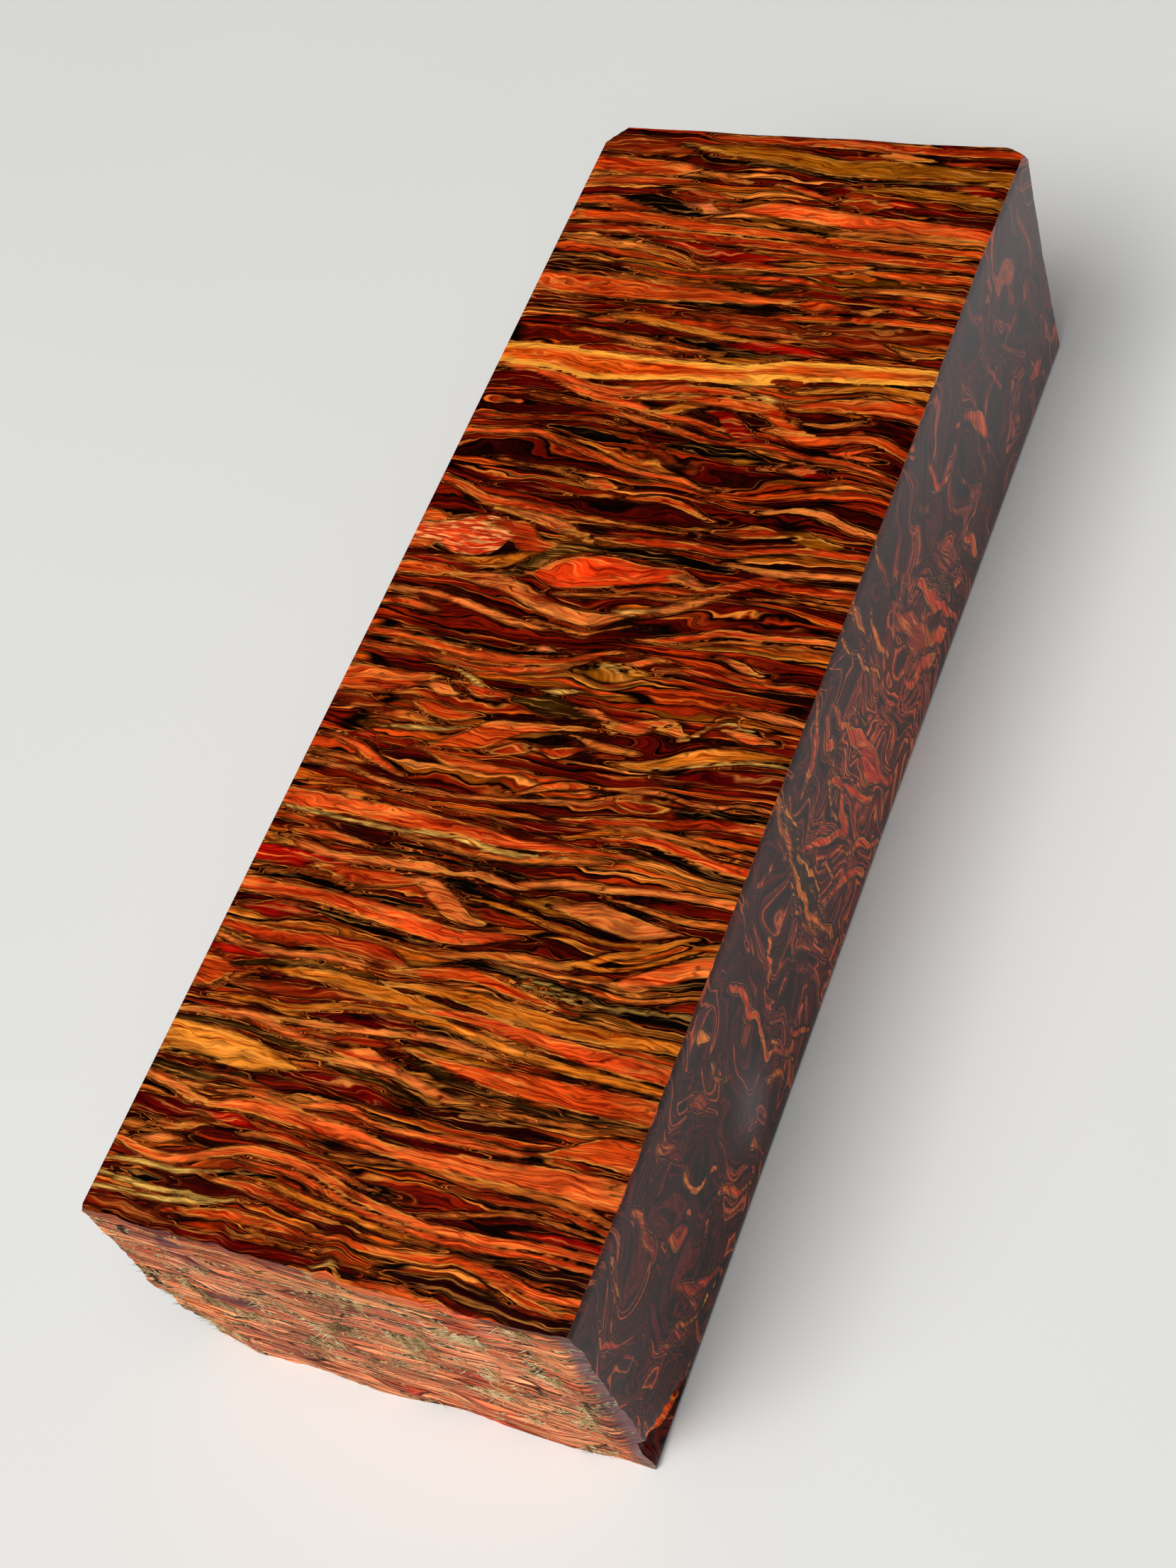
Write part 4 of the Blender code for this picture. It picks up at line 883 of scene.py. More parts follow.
def break_vertex(vertex, x, y, z):
    """Brings a vertex that lies outside a broken corner back onto the break."""
    for signs, depths in CORNER_BREAKS:
        corner = Vector((signs[0] * HALF_WIDTH, signs[1] * HALF_LENGTH, HEIGHT if signs[2] else 0))
        inward = Vector((-signs[0], -signs[1], -1 if signs[2] else 1))
        place = vertex.co - corner
        share = sum(place[k] * inward[k] / (depths[k] * MM) for k in range(3))
        if share < 1:
            rough = 1 + 0.12 * noise.noise(vertex.co / (0.7 * MM))
            normal = Vector([inward[k] / (depths[k] * MM) for k in range(3)])
            vertex.co += normal * ((1 - share) / normal.length_squared) * rough


def take_splinter(vertex, x, y, z):
    """Presses the side in where a long splinter has come off, low at the near end."""
    share = (y + HALF_LENGTH) / SPLINTER_LENGTH
    middle = (SPLINTER_LOW + SPLINTER_HIGH) / 2 * (1 - share) + SPLINTER_END_HEIGHT * share
    half = (SPLINTER_HIGH - SPLINTER_LOW) / 2 * (1 - share) + SPLINTER_END_HALF
    off = abs(z - middle) / half
    if off < 1 and share < 1:
        deep = SPLINTER_DEPTH * (1 - off * off) * (1 - share) ** 0.7
        rough = 1 + 0.2 * noise.noise(Vector((y, z, 0)) / (0.9 * MM))
        inner = smooth_step(HALF_WIDTH - 3 * MM, HALF_WIDTH, x)
        vertex.co.x -= deep * rough * inner


def tone_at(y):
    """How bright the wood between the strands is at y in mm."""
    table = np.array(TONE_ALONG, float)
    return np.interp(y, table[:, 0], table[:, 1])


def dye_side(side, points, flat):
    """The material's values on one side of the bar. Points are in mm, flat ones before they were shaped."""
    count = len(points)
    dyeing = Dyeing(count)
    x, y, z = flat.T
    below = np.clip(HEIGHT / MM - z, 0, None)
    tone = np.zeros(count)
    tear = np.zeros(count)
    haze = np.zeros(count)
    name = SIDES[side]
    if name == "under":
        grain = points.copy()
        tone += UNDER_TONE
        dyeing.inside -= 0.1
        return grain, dyeing, tone, tear, haze
    if name == "top":
        pushed = lay_top_strands(dyeing, x, y, below)
        grain = np.stack([x, y - pushed, z], 1)
        tone = tone_at(y)
        return grain, dyeing, tone, tear, haze
    mirrored = -1.0 if name in ("left", "far") else 1.0
    swing = 1 - np.exp(-below / 4)
    inner_y = y - bends(points, CURLS, mirrored) * swing
    lay_top_strands(dyeing, x, inner_y, below)
    if name in ("right", "left"):
        fold_y = bends(points, FOLDS_ALONG, mirrored)
        fold_z = bends(points, FOLDS_UP, mirrored)
        grain = np.stack([z + 0.5 * fold_z, y + 0.5 * fold_y, x], 1)
        dyeing.inside = np.where(below > 0.1, -3.0, dyeing.inside)
        sway_y = bends(points, SWAY_ALONG, mirrored)
        sway_z = bends(points, SWAY_UP, mirrored)
        lay_ribbons(dyeing, (y + sway_y) * mirrored, z + sway_z)
        tone = side_tone(y * mirrored, z)
        # Painted sheen on the long sides: the floor's reflection and a soft highlight
        haze = painted_side_sheen(y * mirrored, z, name)
    else:
        grain = np.stack([x + noise_over(points, (9, 7, 6), 20.0), z, inner_y], 1)
        depth, flake = end_flakes(x * mirrored, z)
        colours = np.array([linear(END_DYES[row[0]]) for row in END_FLAKES])
        thin = smooth_step(0.3, 1.2, below)
        dyeing.inside = np.where(thin > 0.5, depth, np.maximum(dyeing.inside, 0.3))
        dyeing.dye[thin > 0.5, :3] = colours[flake[thin > 0.5]]
        dyeing.dye[thin > 0.5, 3] = 0.0
        tone = np.full(count, END_TONE)
        edge = HALF_WIDTH / MM
        worn = smooth_step(edge - WORN_START, edge - WORN_FULL, x * mirrored) * thin
        dyeing.dye[:, :3] += worn[:, None] * (np.array(linear(WORN_DYE)) - dyeing.dye[:, :3])
        # A painted sheen over the worn band
        haze = WORN_SHEEN * worn
        tear = thin * (1.0 if name == "near" else FAR_TEAR)
    return grain, dyeing, tone, tear, haze


def side_tone(y, z):
    """How light the marbling is along the long side: darkest at the near end, lightest at the middle."""
    middle = MIDDLE_GAIN * np.exp(-(((y - MIDDLE_PLACE) / MIDDLE_REACH) ** 2)) * smooth_step(27, 14, z)
    return MARBLING_TONE + middle + 0.06 * smooth_step(10, 50, y)


def painted_side_sheen(y, z, name):
    """Painted sheen on the long sides: the floor's reflection, stronger toward the far end and upward, and a
    soft highlight.
    """
    painted_sheen = 0.03 * smooth_step(-40, 10, y) + 0.22 * smooth_step(12, 62, y + 0.6 * (z - 14))
    off_along = (y - HIGHLIGHT_PLACE[0]) / HIGHLIGHT_REACH[0]
    off_up = (z - HIGHLIGHT_PLACE[1]) / HIGHLIGHT_REACH[1]
    painted_sheen += HIGHLIGHT_STRENGTH * np.exp(-(off_along ** 2) - off_up ** 2)
    return painted_sheen * (1.0 if name == "right" else LEFT_SHEEN_SHARE)


# Where each side lies on the "OFBake" map: its origin, its share of full size, and the axes along it
SHEET = 139.0
SHEET_PLACES = {
    "top": ((24.0, 67.0), 1.0, (0, 1)),
    "right": ((48.5, 67.0), 1.0, (2, 1)),
    "left": ((78.7, 67.0), 1.0, (2, 1)),
    "near": ((109.0, 25.0), 1.0, (2, 0)),
    "far": ((109.0, 72.0), 1.0, (2, 0)),
    "under": ((124.0, 117.0), 0.28, (0, 1)),
}


def unwrap_and_dye(mesh, sides, flat):
    """Writes the bake map and the material's values at the corners of every face."""
    corner_vertex = np.zeros(len(mesh.loops), int)
    mesh.loops.foreach_get("vertex_index", corner_vertex)
    corner_side = np.repeat(sides, [face.loop_total for face in mesh.polygons])
    shaped = np.zeros(len(mesh.vertices) * 3)
    mesh.vertices.foreach_get("co", shaped)
    shaped = shaped.reshape(-1, 3) / MM
    flat = flat / MM
    values = {
        "grain": np.zeros((len(corner_vertex), 3)),
        "dye": np.zeros((len(corner_vertex), 4)),
        "inside": np.zeros(len(corner_vertex)),
        "tone": np.zeros(len(corner_vertex)),
        "tear": np.zeros(len(corner_vertex)),
        "haze": np.zeros(len(corner_vertex)),
        "ripple": np.zeros(len(corner_vertex)),
        "side": np.zeros(len(corner_vertex)),
    }
    sheet = np.zeros((len(corner_vertex), 2))
    for side, name in enumerate(SIDES):
        corners = np.flatnonzero(corner_side == side)
        used, back = np.unique(corner_vertex[corners], return_inverse=True)
        grain, dyeing, tone, tear, haze = dye_side(side, shaped[used], flat[used])
        values["grain"][corners] = grain[back]
        values["dye"][corners] = dyeing.dye[back]
        values["inside"][corners] = np.clip(dyeing.inside, -3, 3)[back]
        values["tone"][corners] = tone[back]
        values["tear"][corners] = tear[back]
        values["haze"][corners] = haze[back]
        values["ripple"][corners] = dyeing.ripple[back]
        values["side"][corners] = float(name in ("right", "left"))
        origin, share, axes = SHEET_PLACES[name]
        sheet[corners] = (flat[used][:, axes] * share + np.array(origin))[back] / SHEET
    kinds = {"grain": ("FLOAT_VECTOR", "vector"), "dye": ("FLOAT_COLOR", "color")}
    for name, value in values.items():
        kind, field = kinds.get(name, ("FLOAT", "value"))
        attribute = mesh.attributes.new(name, kind, "CORNER")
        attribute.data.foreach_set(field, value.astype(np.float32).ravel())
    layer = mesh.uv_layers.new(name="OFBake")
    layer.uv.foreach_set("vector", sheet.astype(np.float32).ravel())


def as_piece(name, made, material):
    """Turns a bmesh into a piece of the object that rides on its body."""
    mesh = bpy.data.meshes.new(name)
    made.to_mesh(mesh)
    made.free()
    mesh.materials.append(material)
    piece = bpy.data.objects.new(name, mesh)
    bpy.context.scene.collection.objects.link(piece)
    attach(piece, "root")
    return piece


class Wire:
    """A socket that can be used in arithmetic."""

    def __init__(self, board, socket):
        self.board = board
        self.socket = socket

    def _maths(self, operation, first, second):
        return self.board.maths(operation, first, second)

    def __add__(self, other):
        return self._maths("ADD", self, other)

    def __radd__(self, other):
        return self._maths("ADD", other, self)

    def __sub__(self, other):
        return self._maths("SUBTRACT", self, other)

    def __rsub__(self, other):
        return self._maths("SUBTRACT", other, self)

    def __mul__(self, other):
        return self._maths("MULTIPLY", self, other)

    def __rmul__(self, other):
        return self._maths("MULTIPLY", other, self)

    def __truediv__(self, other):
        return self._maths("DIVIDE", self, other)


class Board:
    """The node tree of one material."""

    def __init__(self, name):
        self.material = bpy.data.materials.new(name)
        self.material.use_nodes = True
        self.tree = self.material.node_tree
        self.shader = self.tree.nodes["Principled BSDF"]

    def node(self, kind, settings=None, inputs=None):
        """Adds a node, makes its settings, and then gives its sockets their values or links."""
        made = self.tree.nodes.new(kind)
        for name, value in (settings or {}).items():
            if name == "stops":
                self._fill_ramp(made.color_ramp, value)
            else:
                setattr(made, name, value)
        for name, value in (inputs or {}).items():
            self.feed(made.inputs[name], value)
        return made

    def feed(self, socket, value):
        if isinstance(value, Wire):
            self.tree.links.new(value.socket, socket)
        elif isinstance(value, tuple) and len(value) == 3 and socket.type == "RGBA":
            socket.default_value = (*value, 1.0)
        else:
            socket.default_value = value

    def _fill_ramp(self, ramp, stops):
        while len(ramp.elements) < len(stops):
            ramp.elements.new(1.0)
        for element, (place, colour) in zip(ramp.elements, stops):
            element.position = place
            element.color = (*linear(colour), 1.0)

    def out(self, node, name=0):
        return Wire(self, node.outputs[name])

    def maths(self, operation, first, second=0.0):
        return self.out(self.node("ShaderNodeMath", {"operation": operation}, {0: first, 1: second}))

    def attribute(self, name, output):
        return self.out(self.node("ShaderNodeAttribute", {"attribute_name": name}), output)

    def split(self, vector):
        node = self.node("ShaderNodeSeparateXYZ", None, {0: vector})
        return [self.out(node, k) for k in range(3)]

    def at(self, x, y):
        """A place on a flat sheet, for the textures."""
        return self.out(self.node("ShaderNodeCombineXYZ", None, {0: x, 1: y}))

    def noise(self, vector, octaves=2.0):
        """Noise of about 0 to 1 with cells of size 1 in the vector's units."""
        settings = {"noise_dimensions": "2D"}
        inputs = {"Vector": vector, "Scale": 1.0, "Detail": octaves, "Roughness": 0.5}
        return self.out(self.node("ShaderNodeTexNoise", settings, inputs), "Fac")

    def cells(self, vector, feature, output):
        """Cells of about size 1 in the vector's units: their random colours, or how far it is to an edge."""
        settings = {"voronoi_dimensions": "2D", "feature": feature}
        inputs = {"Vector": vector, "Scale": 1.0, "Randomness": 1.0}
        return self.out(self.node("ShaderNodeTexVoronoi", settings, inputs), output)

    def step(self, value, low, high):
        """0 below low, 1 above high, smooth between."""
        settings = {"interpolation_type": "SMOOTHSTEP"}
        inputs = {"Value": value, "From Min": low, "From Max": high}
        return self.out(self.node("ShaderNodeMapRange", settings, inputs))

    def mix(self, share, first, second):
        settings = {"data_type": "RGBA", "blend_type": "MIX"}
        node = self.node("ShaderNodeMix", settings)
        self.feed(node.inputs[0], share)
        self.feed(node.inputs[6], first)
        self.feed(node.inputs[7], second)
        return self.out(node, 2)

    def scaled(self, colour, share):
        """A colour made brighter or darker by a number."""
        node = self.node("ShaderNodeVectorMath", {"operation": "SCALE"}, {0: colour})
        self.feed(node.inputs["Scale"], share)
        return self.out(node)

    def tinted(self, colour, tint):
        """A colour seen through a clear tint."""
        return self.out(self.node("ShaderNodeVectorMath", {"operation": "MULTIPLY"}, {0: colour, 1: tint}))

    def ramp(self, value, stops):
        return self.out(self.node("ShaderNodeValToRGB", {"stops": stops}, {"Fac": value}))

    def bump(self, height, strength, distance):
        inputs = {"Height": height, "Strength": strength, "Distance": distance}
        return self.out(self.node("ShaderNodeBump", None, inputs))


def wood_material(looks):
    """Dyed strands in amber resin: polished on the sanded sides, dusty and rough on the sawn ends."""
    board = Board("stabilised wood")
    shader = board.shader
    along, flow, _ = board.split(board.attribute("grain", "Vector"))
    tear = board.attribute("tear", "Fac")
    side = board.attribute("side", "Fac")
    haze = board.attribute("haze", "Fac")

    wide = board.noise(board.at(along / 12.0, flow / 3.4))
    close = board.noise(board.at(along / 3.4, flow / 1.2))
    lay = flow + (wide - 0.5) * 2.2 + (close - 0.5) * 0.8

    shown, body, depth = key_strands(board, along, flow, lay)
    between = board.mix(side, fine_strands(board, along, lay), side_swirls(board, along, flow))
    gap = board.noise(board.at(along / 6.0, lay / 0.9))
    seam = board.step(depth, -0.60 * gap - 0.16, -0.05) * (0.60 + 0.40 * board.step(gap, 0.40, 0.56))
    rings = board.noise(board.at(along / 8.0, depth / 0.15))
    resin_seam = board.ramp(rings, SEAM_SCALE)
    polished = board.mix(shown, board.mix(seam, between, resin_seam), body)
    fine = board.noise(board.at(along / 2.6, lay / 0.20))
    polished = board.scaled(polished, 0.62 + 0.48 * board.step(fine, 0.34, 0.60))
    polished = board.out(board.node("ShaderNodeGamma", None, {"Color": polished, "Gamma": RESIN_DEPTH}))
    polished = board.tinted(board.scaled(polished, TOP_GAIN + SIDE_GAIN * side), tuple(looks.resin))

    # The worn band of a sawn end, found from where its painted sheen lies
    worn = board.step(haze, 0.0, WORN_SHEEN) * tear
    sawn, relief = sawn_wood(board, along, flow, worn)
    # Painted sheen: the surface is mixed toward the pale grey sheen colour where the sheen lies
    surface = board.mix(haze, board.mix(tear, polished, sawn), tuple(looks.painted_sheen))
    board.feed(shader.inputs["Base Color"], surface)

    smear = board.noise(board.at(along / 5.0, flow / 7.0))
    rough = looks.polish + 0.12 * (smear - 0.5) + (SAWN_ROUGHNESS - looks.polish) * tear
    board.feed(shader.inputs["Roughness"], rough)
    shader.inputs["Specular IOR Level"].default_value = looks.shine
    height = relief * tear * (1.0 - 0.85 * worn) + smear * (1.0 - tear) * 0.10
    board.feed(shader.inputs["Normal"], board.bump(height, RELIEF_STRENGTH, RELIEF_DEPTH))
    return board.material


def key_strands(board, along, flow, lay):
    """How far the listed strands cover a place, their colour there, and how far inside one it is."""
    dye = board.attribute("dye", "Color")
    rim = board.attribute("dye", "Alpha")
    ripple = board.attribute("ripple", "Fac")
    ragged = board.noise(board.at(along / 1.8, flow / 0.7))
    depth = board.attribute("inside", "Fac") + (ragged - 0.5) * 0.34

    thin = board.noise(board.at(along / 8.0, lay / 0.15), 1.0)
    broad = board.noise(board.at(along / 10.0, lay / 0.55))
    streak = thin * 0.45 + broad * 0.55
    body = board.mix(board.step(streak, 0.34, 0.48), board.tinted(dye, DARK_STREAK), dye)
    lighter = board.mix(0.55, dye, detail("lit streak"))
    body = board.mix(board.step(streak, 0.52, 0.64) * 0.80, body, lighter)
    hair = board.maths("ABSOLUTE", board.noise(board.at(along / 11.0, lay / 0.60), 1.0) - 0.5)
    body = board.mix((1.0 - board.step(hair, 0.002, 0.020)) * 0.55, body, detail("crack"))
    shade = board.noise(board.at(along / 9.0, flow / 1.6), 1.0)
    # Painted shade: each strand darkens toward its edges as if it were rounded, and the noise varies its tone
    # at random
    body = board.scaled(body, (0.36 + 0.64 * board.step(depth, 0.0, 0.34)) * (0.42 + shade))

    patchy = board.step(board.noise(board.at(along / 7.0, flow / 1.3), 1.0), 0.46, 0.58)
    narrow = board.step(depth, 0.0, 0.08) * (1.0 - board.step(depth, 0.10, 0.26))
    body = board.mix(narrow * board.step(rim, 0.0, 1.0) * patchy * 0.60, body, detail("pale rim"))
    golden = board.step(rim, 1.4, 1.6) * (1.0 - board.step(depth, 0.35, 0.95))
    body = board.mix(golden * 0.75, body, detail("golden rim"))
    folds = board.noise(board.at(along / 2.4, flow / 0.20))
    body = board.mix(ripple * board.step(folds, 0.50, 0.64) * 0.80, body, detail("knot fold"))
    return board.step(depth, -0.02, 0.05), body, depth


def fine_strands(board, along, lay):
    """The colour of the finer strands that fill the room between the listed strands."""
    strand_at = board.at(along / 21.0, lay / 1.05)
    strand_edge = board.cells(strand_at, "DISTANCE_TO_EDGE", "Distance") * 1.05
    strand_pick, _, strand_shade = board.split(board.cells(strand_at, "F1", "Color"))
    sheet_at = board.at(along / 17.0, lay / 0.33)
    sheet_edge = board.cells(sheet_at, "DISTANCE_TO_EDGE", "Distance") * 0.33
    sheet_pick = board.split(board.cells(sheet_at, "F1", "Color"))[0]
    choice = strand_pick * 0.86 + 0.06 + board.attribute("tone", "Fac") + (sheet_pick - 0.5) * 0.46
    colour = board.ramp(choice, FINE_SCALE)
    pale = board.step(strand_edge, 0.05, 0.10) * (1.0 - board.step(strand_edge, 0.14, 0.22))
    pale = pale * board.step(choice, 0.40, 0.62) * board.step(strand_shade, 0.50, 0.62)
    colour = board.mix(pale * 0.65, colour, detail("pale line"))
    colour = board.scaled(colour, 0.42 + 0.58 * board.step(sheet_edge, 0.005, 0.07))
    return board.mix(board.step(strand_edge, 0.02, 0.10), detail("resin line"), colour)


def side_swirls(board, along, flow):
    """The colour of the long sides, where the strands are cut across: folded layers in dark resin."""
    turn = board.noise(board.at(along / 6.0, flow / 6.0), 0.0)
    swing = board.noise(board.at(along / 6.0 + 40.0, flow / 6.0), 0.0)
    folded = flow + (turn - 0.5) * 9.0
    rise = along + (swing - 0.5) * 9.0
    layers = board.noise(board.at(folded / 2.2, rise / 9.0), 1.0)
    blotch = board.noise(board.at(folded / 3.4 + 20.0, rise / 6.0), 1.0)
    speck = board.noise(board.at(folded / 0.40, rise / 2.2))
    light = board.attribute("tone", "Fac")
    place = layers * 0.62 + blotch * 0.38 + (speck - 0.5) * 0.06
    dull = board.ramp(place, DULL_SWIRLS)
    bright = board.ramp(place, BRIGHT_SWIRLS)
    ground = board.mix(board.step(light + (blotch - 0.5) * 0.5, -0.10, 0.10), dull, bright)
    return board.scaled(ground, 0.55 + 0.90 * speck)


def sawn_wood(board, along, up, worn):
    """The colour and the relief of a sawn end: dusty streaks of wood with khaki fibres in the seams."""
    bend = board.noise(board.at(along / 11.0, up / 4.0), 1.0) - 0.5
    layer = up + bend * 2.4 + along * 0.06
    strand_at = board.at(along / 8.0, layer / 1.25)
    strand_edge = board.cells(strand_at, "DISTANCE_TO_EDGE", "Distance") * 1.25
    pick, crumble, _ = board.split(board.cells(strand_at, "F1", "Color"))
    streaks = board.noise(board.at(along / 6.5, layer / 0.17))
    bands = board.noise(board.at(along / 8.0, layer / 0.6), 1.0)
    wood = board.ramp(pick + (bands - 0.5) * 0.8, SAWN_SCALE)
    wood = board.mix(0.42 + 0.50 * worn, wood, board.attribute("dye", "Color"))
    wood = board.scaled(wood, 0.24 + 0.40 * worn + (1.66 - 1.26 * worn) * board.step(streaks, 0.32, 0.66))
    crumbs = board.noise(board.at(along / 0.50, layer / 0.24))
    fibres = board.ramp(crumbs, FUZZ_SCALE)
    patch = board.noise(board.at(along / 4.0, layer / 1.6), 1.0)
    middle = board.step(up, 5.0, 11.0) * (1.0 - board.step(up, 22.0, 27.0))
    patchy = board.step(patch + middle * 0.12, 0.58, 0.64)
    flake = board.attribute("inside", "Fac") + (crumbs - 0.5) * 0.7
    open_seam = (1.0 - board.step(flake, -0.16, 0.04)) * (0.15 + 0.85 * patchy)
    frayed = (1.0 - board.step(strand_edge, 0.04, 0.20)) * patchy
    fray = board.maths("MAXIMUM", open_seam, frayed)
    gap = (1.0 - board.step(strand_edge, 0.01, 0.09)) * board.step(crumble, 0.25, 0.45)
    colour = board.mix(fray * 0.85, wood, fibres)
    colour = board.mix(gap * 0.90, colour, detail("torn gap"))
    return colour, streaks * 0.9 + crumbs * (0.15 + fray) - gap * 1.1


def fibre_material():
    """Dry fibres that the saw left standing in the seams."""
    board = Board("dry fibres")
    place = board.out(board.node("ShaderNodeTexCoord"), "Object")
    patch = board.noise(board.scaled(place, 900.0))
    colour = board.ramp(patch, FIBRE_SCALE)
    board.feed(board.shader.inputs["Base Color"], colour)
    board.feed(board.shader.inputs["Roughness"], 0.75 + 0.2 * patch)
    return board.material


def floor_material(looks):
    """A plain pale floor with a very faint unevenness."""
    board = Board("pale floor")
    place = board.out(board.node("ShaderNodeTexCoord"), "Object")
    cloud = board.noise(board.scaled(place, 9.0))
    base = tuple(looks.floor_colour)
    board.feed(board.shader.inputs["Base Color"], board.mix(cloud * 0.5, base, tuple(c * 0.88 for c in base)))
    board.feed(board.shader.inputs["Roughness"], 0.75 + 0.1 * cloud)
    return board.material


class WoodBarLooks(bpy.types.PropertyGroup):
    """What a user may change about the bar's finish and its stage."""

    polish: bpy.props.FloatProperty(
        name="Polish", description="Roughness of the sanded sides", default=0.27, min=0.0, max=1.0,
        subtype="FACTOR")
    shine: bpy.props.FloatProperty(
        name="Shine", description="How strongly the resin mirrors", default=0.10, min=0.0, max=1.0,
        subtype="FACTOR")
    resin: bpy.props.FloatVectorProperty(
        name="Resin", description="Tint of the clear resin over the wood", size=3, default=(1.0, 0.87, 0.56),
        min=0.0, max=1.0, subtype="COLOR")
    # The colour of the painted sheen: the floor's reflection and a soft highlight on the long sides, and the
    # sheen on the near end's worn band
    painted_sheen: bpy.props.FloatVectorProperty(
        name="Dust film", description="Colour of the dull film on the long sides", size=3,
        default=(0.42, 0.39, 0.41), min=0.0, max=1.0, subtype="COLOR")
    fibre_count: bpy.props.IntProperty(
        name="Fibres", description="Dry fibres standing in the near end's seams", default=1500, min=0)
    fibre_length: bpy.props.FloatProperty(
        name="Fibre length", description="Longest standing fibre", default=1.5 * MM, unit="LENGTH")
    floor_colour: bpy.props.FloatVectorProperty(
        name="Floor", description="Colour of the floor", size=3, default=(0.84, 0.84, 0.82), min=0.0, max=1.0,
        subtype="COLOR")
    camera_place: bpy.props.FloatVectorProperty(
        name="Camera", description="Place of the camera", size=3, default=(0.09768, -0.11729, 0.20513),
        unit="LENGTH")
    lens: bpy.props.FloatProperty(name="Lens", description="Focal length in mm", default=58.265, min=1.0)
    key_power: bpy.props.FloatProperty(name="Key light", description="Power in watts", default=15.2, min=0.0)
    fill_power: bpy.props.FloatProperty(
        name="Fill light", description="Power in watts", default=14.5, min=0.0)
    sky: bpy.props.FloatProperty(
        name="Surroundings", description="Brightness of the room", default=0.02, min=0.0)


class WOODBAR_OT_bar(bpy.types.Operator):
    """Makes the bar itself, with its polished sides and torn ends"""

    bl_idname = "woodbar.bar"
    bl_label = "Bar"

    def execute(self, context):
        looks = context.scene.wood_bar_looks
        box = divided_box()
        sides = np.array([side_of(face.normal) for face in box.faces])
        flat = np.array([vertex.co[:] for vertex in box.verts])
        shape_bar(box)
        piece = as_piece("stabilised_wood_bar", box, wood_material(looks))
        unwrap_and_dye(piece.data, sides, flat)
        piece.data.shade_smooth()
        piece.data.set_sharp_from_angle(angle=SHARP_FROM)
        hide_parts("block")
        return {"FINISHED"}


class WOODBAR_OT_fibres(bpy.types.Operator):
    """Stands dry fibres in the seams of the near end"""

    bl_idname = "woodbar.fibres"
    bl_label = "Standing fibres"

    def execute(self, context):
        looks = context.scene.wood_bar_looks
        draw = random.Random(21)
        tuft = bmesh.new()
        placed = 0
        while placed < looks.fibre_count:
            x = draw.uniform(*ROOTS_ACROSS)
            z = draw.uniform(*ROOTS_UP)
            depth, _ = end_flakes(np.array([x]), np.array([z]))
            tuft_here = noise.noise(Vector((x / 4, 5, z / 1.8))) + 0.25 * (8 < z < 24) - 0.8 * (x > 20)
            if (depth[0] > 0.10 or tuft_here < 0.08) and draw.random() > 0.01:
                continue
            root_y = -HALF_LENGTH + near_end_depth(x * MM, z * MM)
            length = looks.fibre_length * draw.uniform(0.35, 1.0)
            heading = draw.gauss(0.15, 0.55) + (math.pi if draw.random() < 0.4 else 0.0)
            lift = draw.uniform(0.05, 0.40)
            flat_share = math.cos(lift)
            way = Vector((math.cos(heading) * flat_share, -math.sin(lift), math.sin(heading) * flat_share))
            turn = way.to_track_quat("Z", "Y").to_matrix().to_4x4()
            place = Matrix.Translation(Vector((x * MM, root_y - 0.02 * MM, z * MM)) + way * length * 0.45)
            blade = bmesh.ops.create_cone(
                tuft, cap_ends=True, segments=3, radius1=FIBRE_ROOT, radius2=FIBRE_TIP, depth=length,
                matrix=place @ turn)
            heights = [vertex.co.z for vertex in blade["verts"]]
            if min(heights) < 0.05 * MM or max(heights) > HEIGHT:
                bmesh.ops.delete(tuft, geom=blade["verts"], context="VERTS")
                continue
            placed += 1
        bmesh.ops.recalc_face_normals(tuft, faces=tuft.faces)
        as_piece("dry_fibres", tuft, fibre_material())
        return {"FINISHED"}


# The stage, in metres: the lights and the room, the floor's reach, and the camera's direction and top
KEY_PLACE = (-0.40, -0.80, 1.3)
KEY_SIZE = 1.0
KEY_COLOUR = (1.0, 0.99, 0.97)
FILL_PLACE = (0.12, -0.60, 1.3)
FILL_SIZE = 1.6
FILL_COLOUR = (0.98, 0.99, 1.0)
ROOM_COLOUR = (0.93, 0.96, 1.0, 1.0)
LIGHT_TARGET = (0, 0, 0.01)
FLOOR_REACH = 2.5
CAMERA_WAY = (-0.41175, 0.45465, -0.78978)
CAMERA_TOP = (-0.15566, 0.81883, 0.55253)


def aim(thing, place, direction, above=Vector((0, 0, 1))):
    """Puts a light or camera at a place, looking along a direction."""
    back = -Vector(direction).normalized()
    right = Vector(above).cross(back).normalized()
    upward = back.cross(right)
    turned = Matrix((right, upward, back)).transposed().to_4x4()
    thing.matrix_world = Matrix.Translation(Vector(place)) @ turned


def area_light(name, place, size, power, colour):
    """Hangs a soft square light that shines on the bar."""
    data = bpy.data.lights.new(name, "AREA")
    data.shape = "RECTANGLE"
    data.size = size
    data.size_y = size
    data.energy = power
    data.color = colour
    light = bpy.data.objects.new(name, data)
    bpy.context.scene.collection.objects.link(light)
    aim(light, place, Vector(LIGHT_TARGET) - Vector(place))


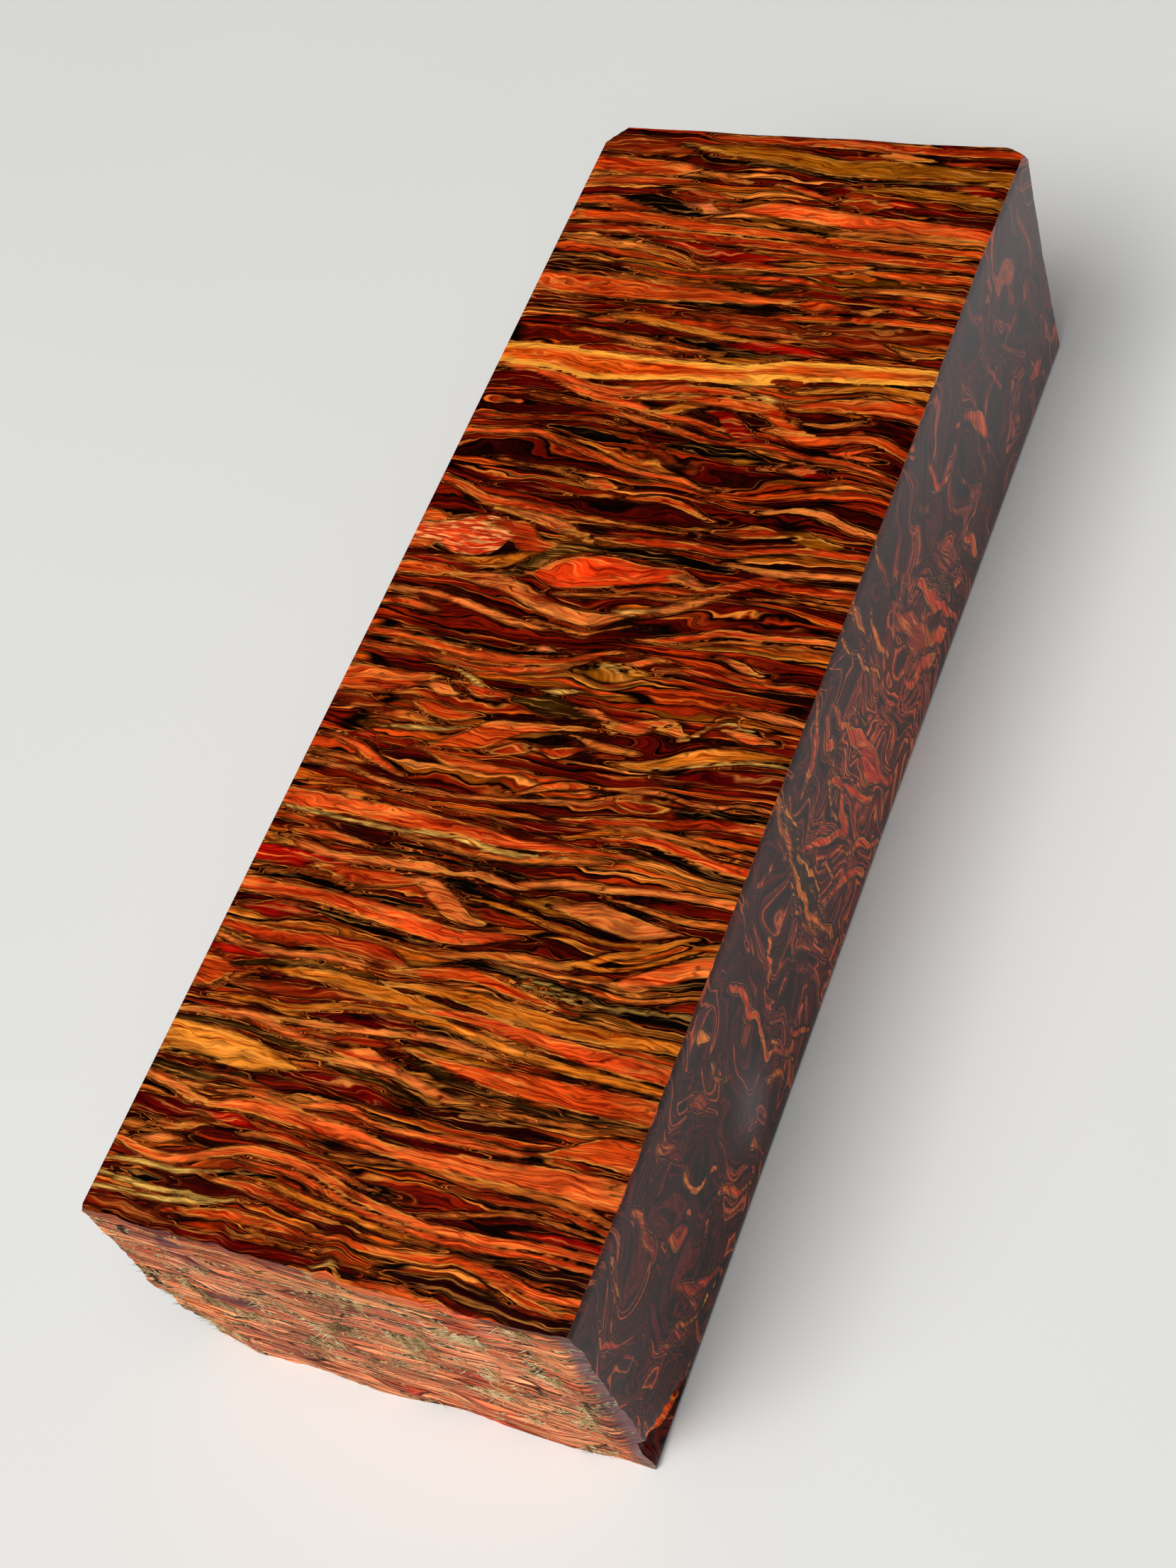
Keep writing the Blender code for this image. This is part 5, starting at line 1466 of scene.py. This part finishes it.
class WOODBAR_OT_stage(bpy.types.Operator):
    """Sets out the floor, the lights and the camera"""

    bl_idname = "woodbar.stage"
    bl_label = "Stage"

    def execute(self, context):
        scene = context.scene
        looks = scene.wood_bar_looks
        ground = bmesh.new()
        bmesh.ops.create_grid(ground, x_segments=24, y_segments=24, size=FLOOR_REACH)
        mesh = bpy.data.meshes.new("floor")
        ground.to_mesh(mesh)
        ground.free()
        mesh.materials.append(floor_material(looks))
        floor = bpy.data.objects.new("floor", mesh)
        scene.collection.objects.link(floor)

        area_light("key", KEY_PLACE, KEY_SIZE, looks.key_power, KEY_COLOUR)
        area_light("fill", FILL_PLACE, FILL_SIZE, looks.fill_power, FILL_COLOUR)

        world = bpy.data.worlds.new("room")
        world.use_nodes = True
        backdrop = world.node_tree.nodes["Background"]
        backdrop.inputs["Color"].default_value = ROOM_COLOUR
        backdrop.inputs["Strength"].default_value = looks.sky
        scene.world = world

        data = bpy.data.cameras.new("camera")
        data.sensor_fit = "AUTO"
        data.sensor_width = 36.0
        data.lens = looks.lens
        data.clip_start = 0.01
        camera = bpy.data.objects.new("camera", data)
        scene.collection.objects.link(camera)
        aim(camera, looks.camera_place, CAMERA_WAY, CAMERA_TOP)
        scene.camera = camera
        scene.view_settings.view_transform = "Standard"
        return {"FINISHED"}


class WOODBAR_PT_panel(bpy.types.Panel):
    """Lists what makes the bar"""

    bl_idname = "WOODBAR_PT_panel"
    bl_label = "Stabilised wood bar"
    bl_space_type = "VIEW_3D"
    bl_region_type = "UI"
    bl_category = "Wood bar"

    def draw(self, context):
        for name in WoodBarLooks.__annotations__:
            self.layout.prop(context.scene.wood_bar_looks, name)
        for operator in OPERATORS:
            self.layout.operator(operator.bl_idname)


OPERATORS = (WOODBAR_OT_bar, WOODBAR_OT_fibres, WOODBAR_OT_stage)
CLASSES = (WoodBarLooks, *OPERATORS, WOODBAR_PT_panel)


def register():
    for each in CLASSES:
        bpy.utils.register_class(each)
    bpy.types.Scene.wood_bar_looks = bpy.props.PointerProperty(type=WoodBarLooks)


def unregister():
    del bpy.types.Scene.wood_bar_looks
    for each in reversed(CLASSES):
        bpy.utils.unregister_class(each)


def main():
    register()
    bpy.ops.woodbar.bar()
    bpy.ops.woodbar.fibres()
    bpy.ops.woodbar.stage()


if __name__ == "__main__":
    main()
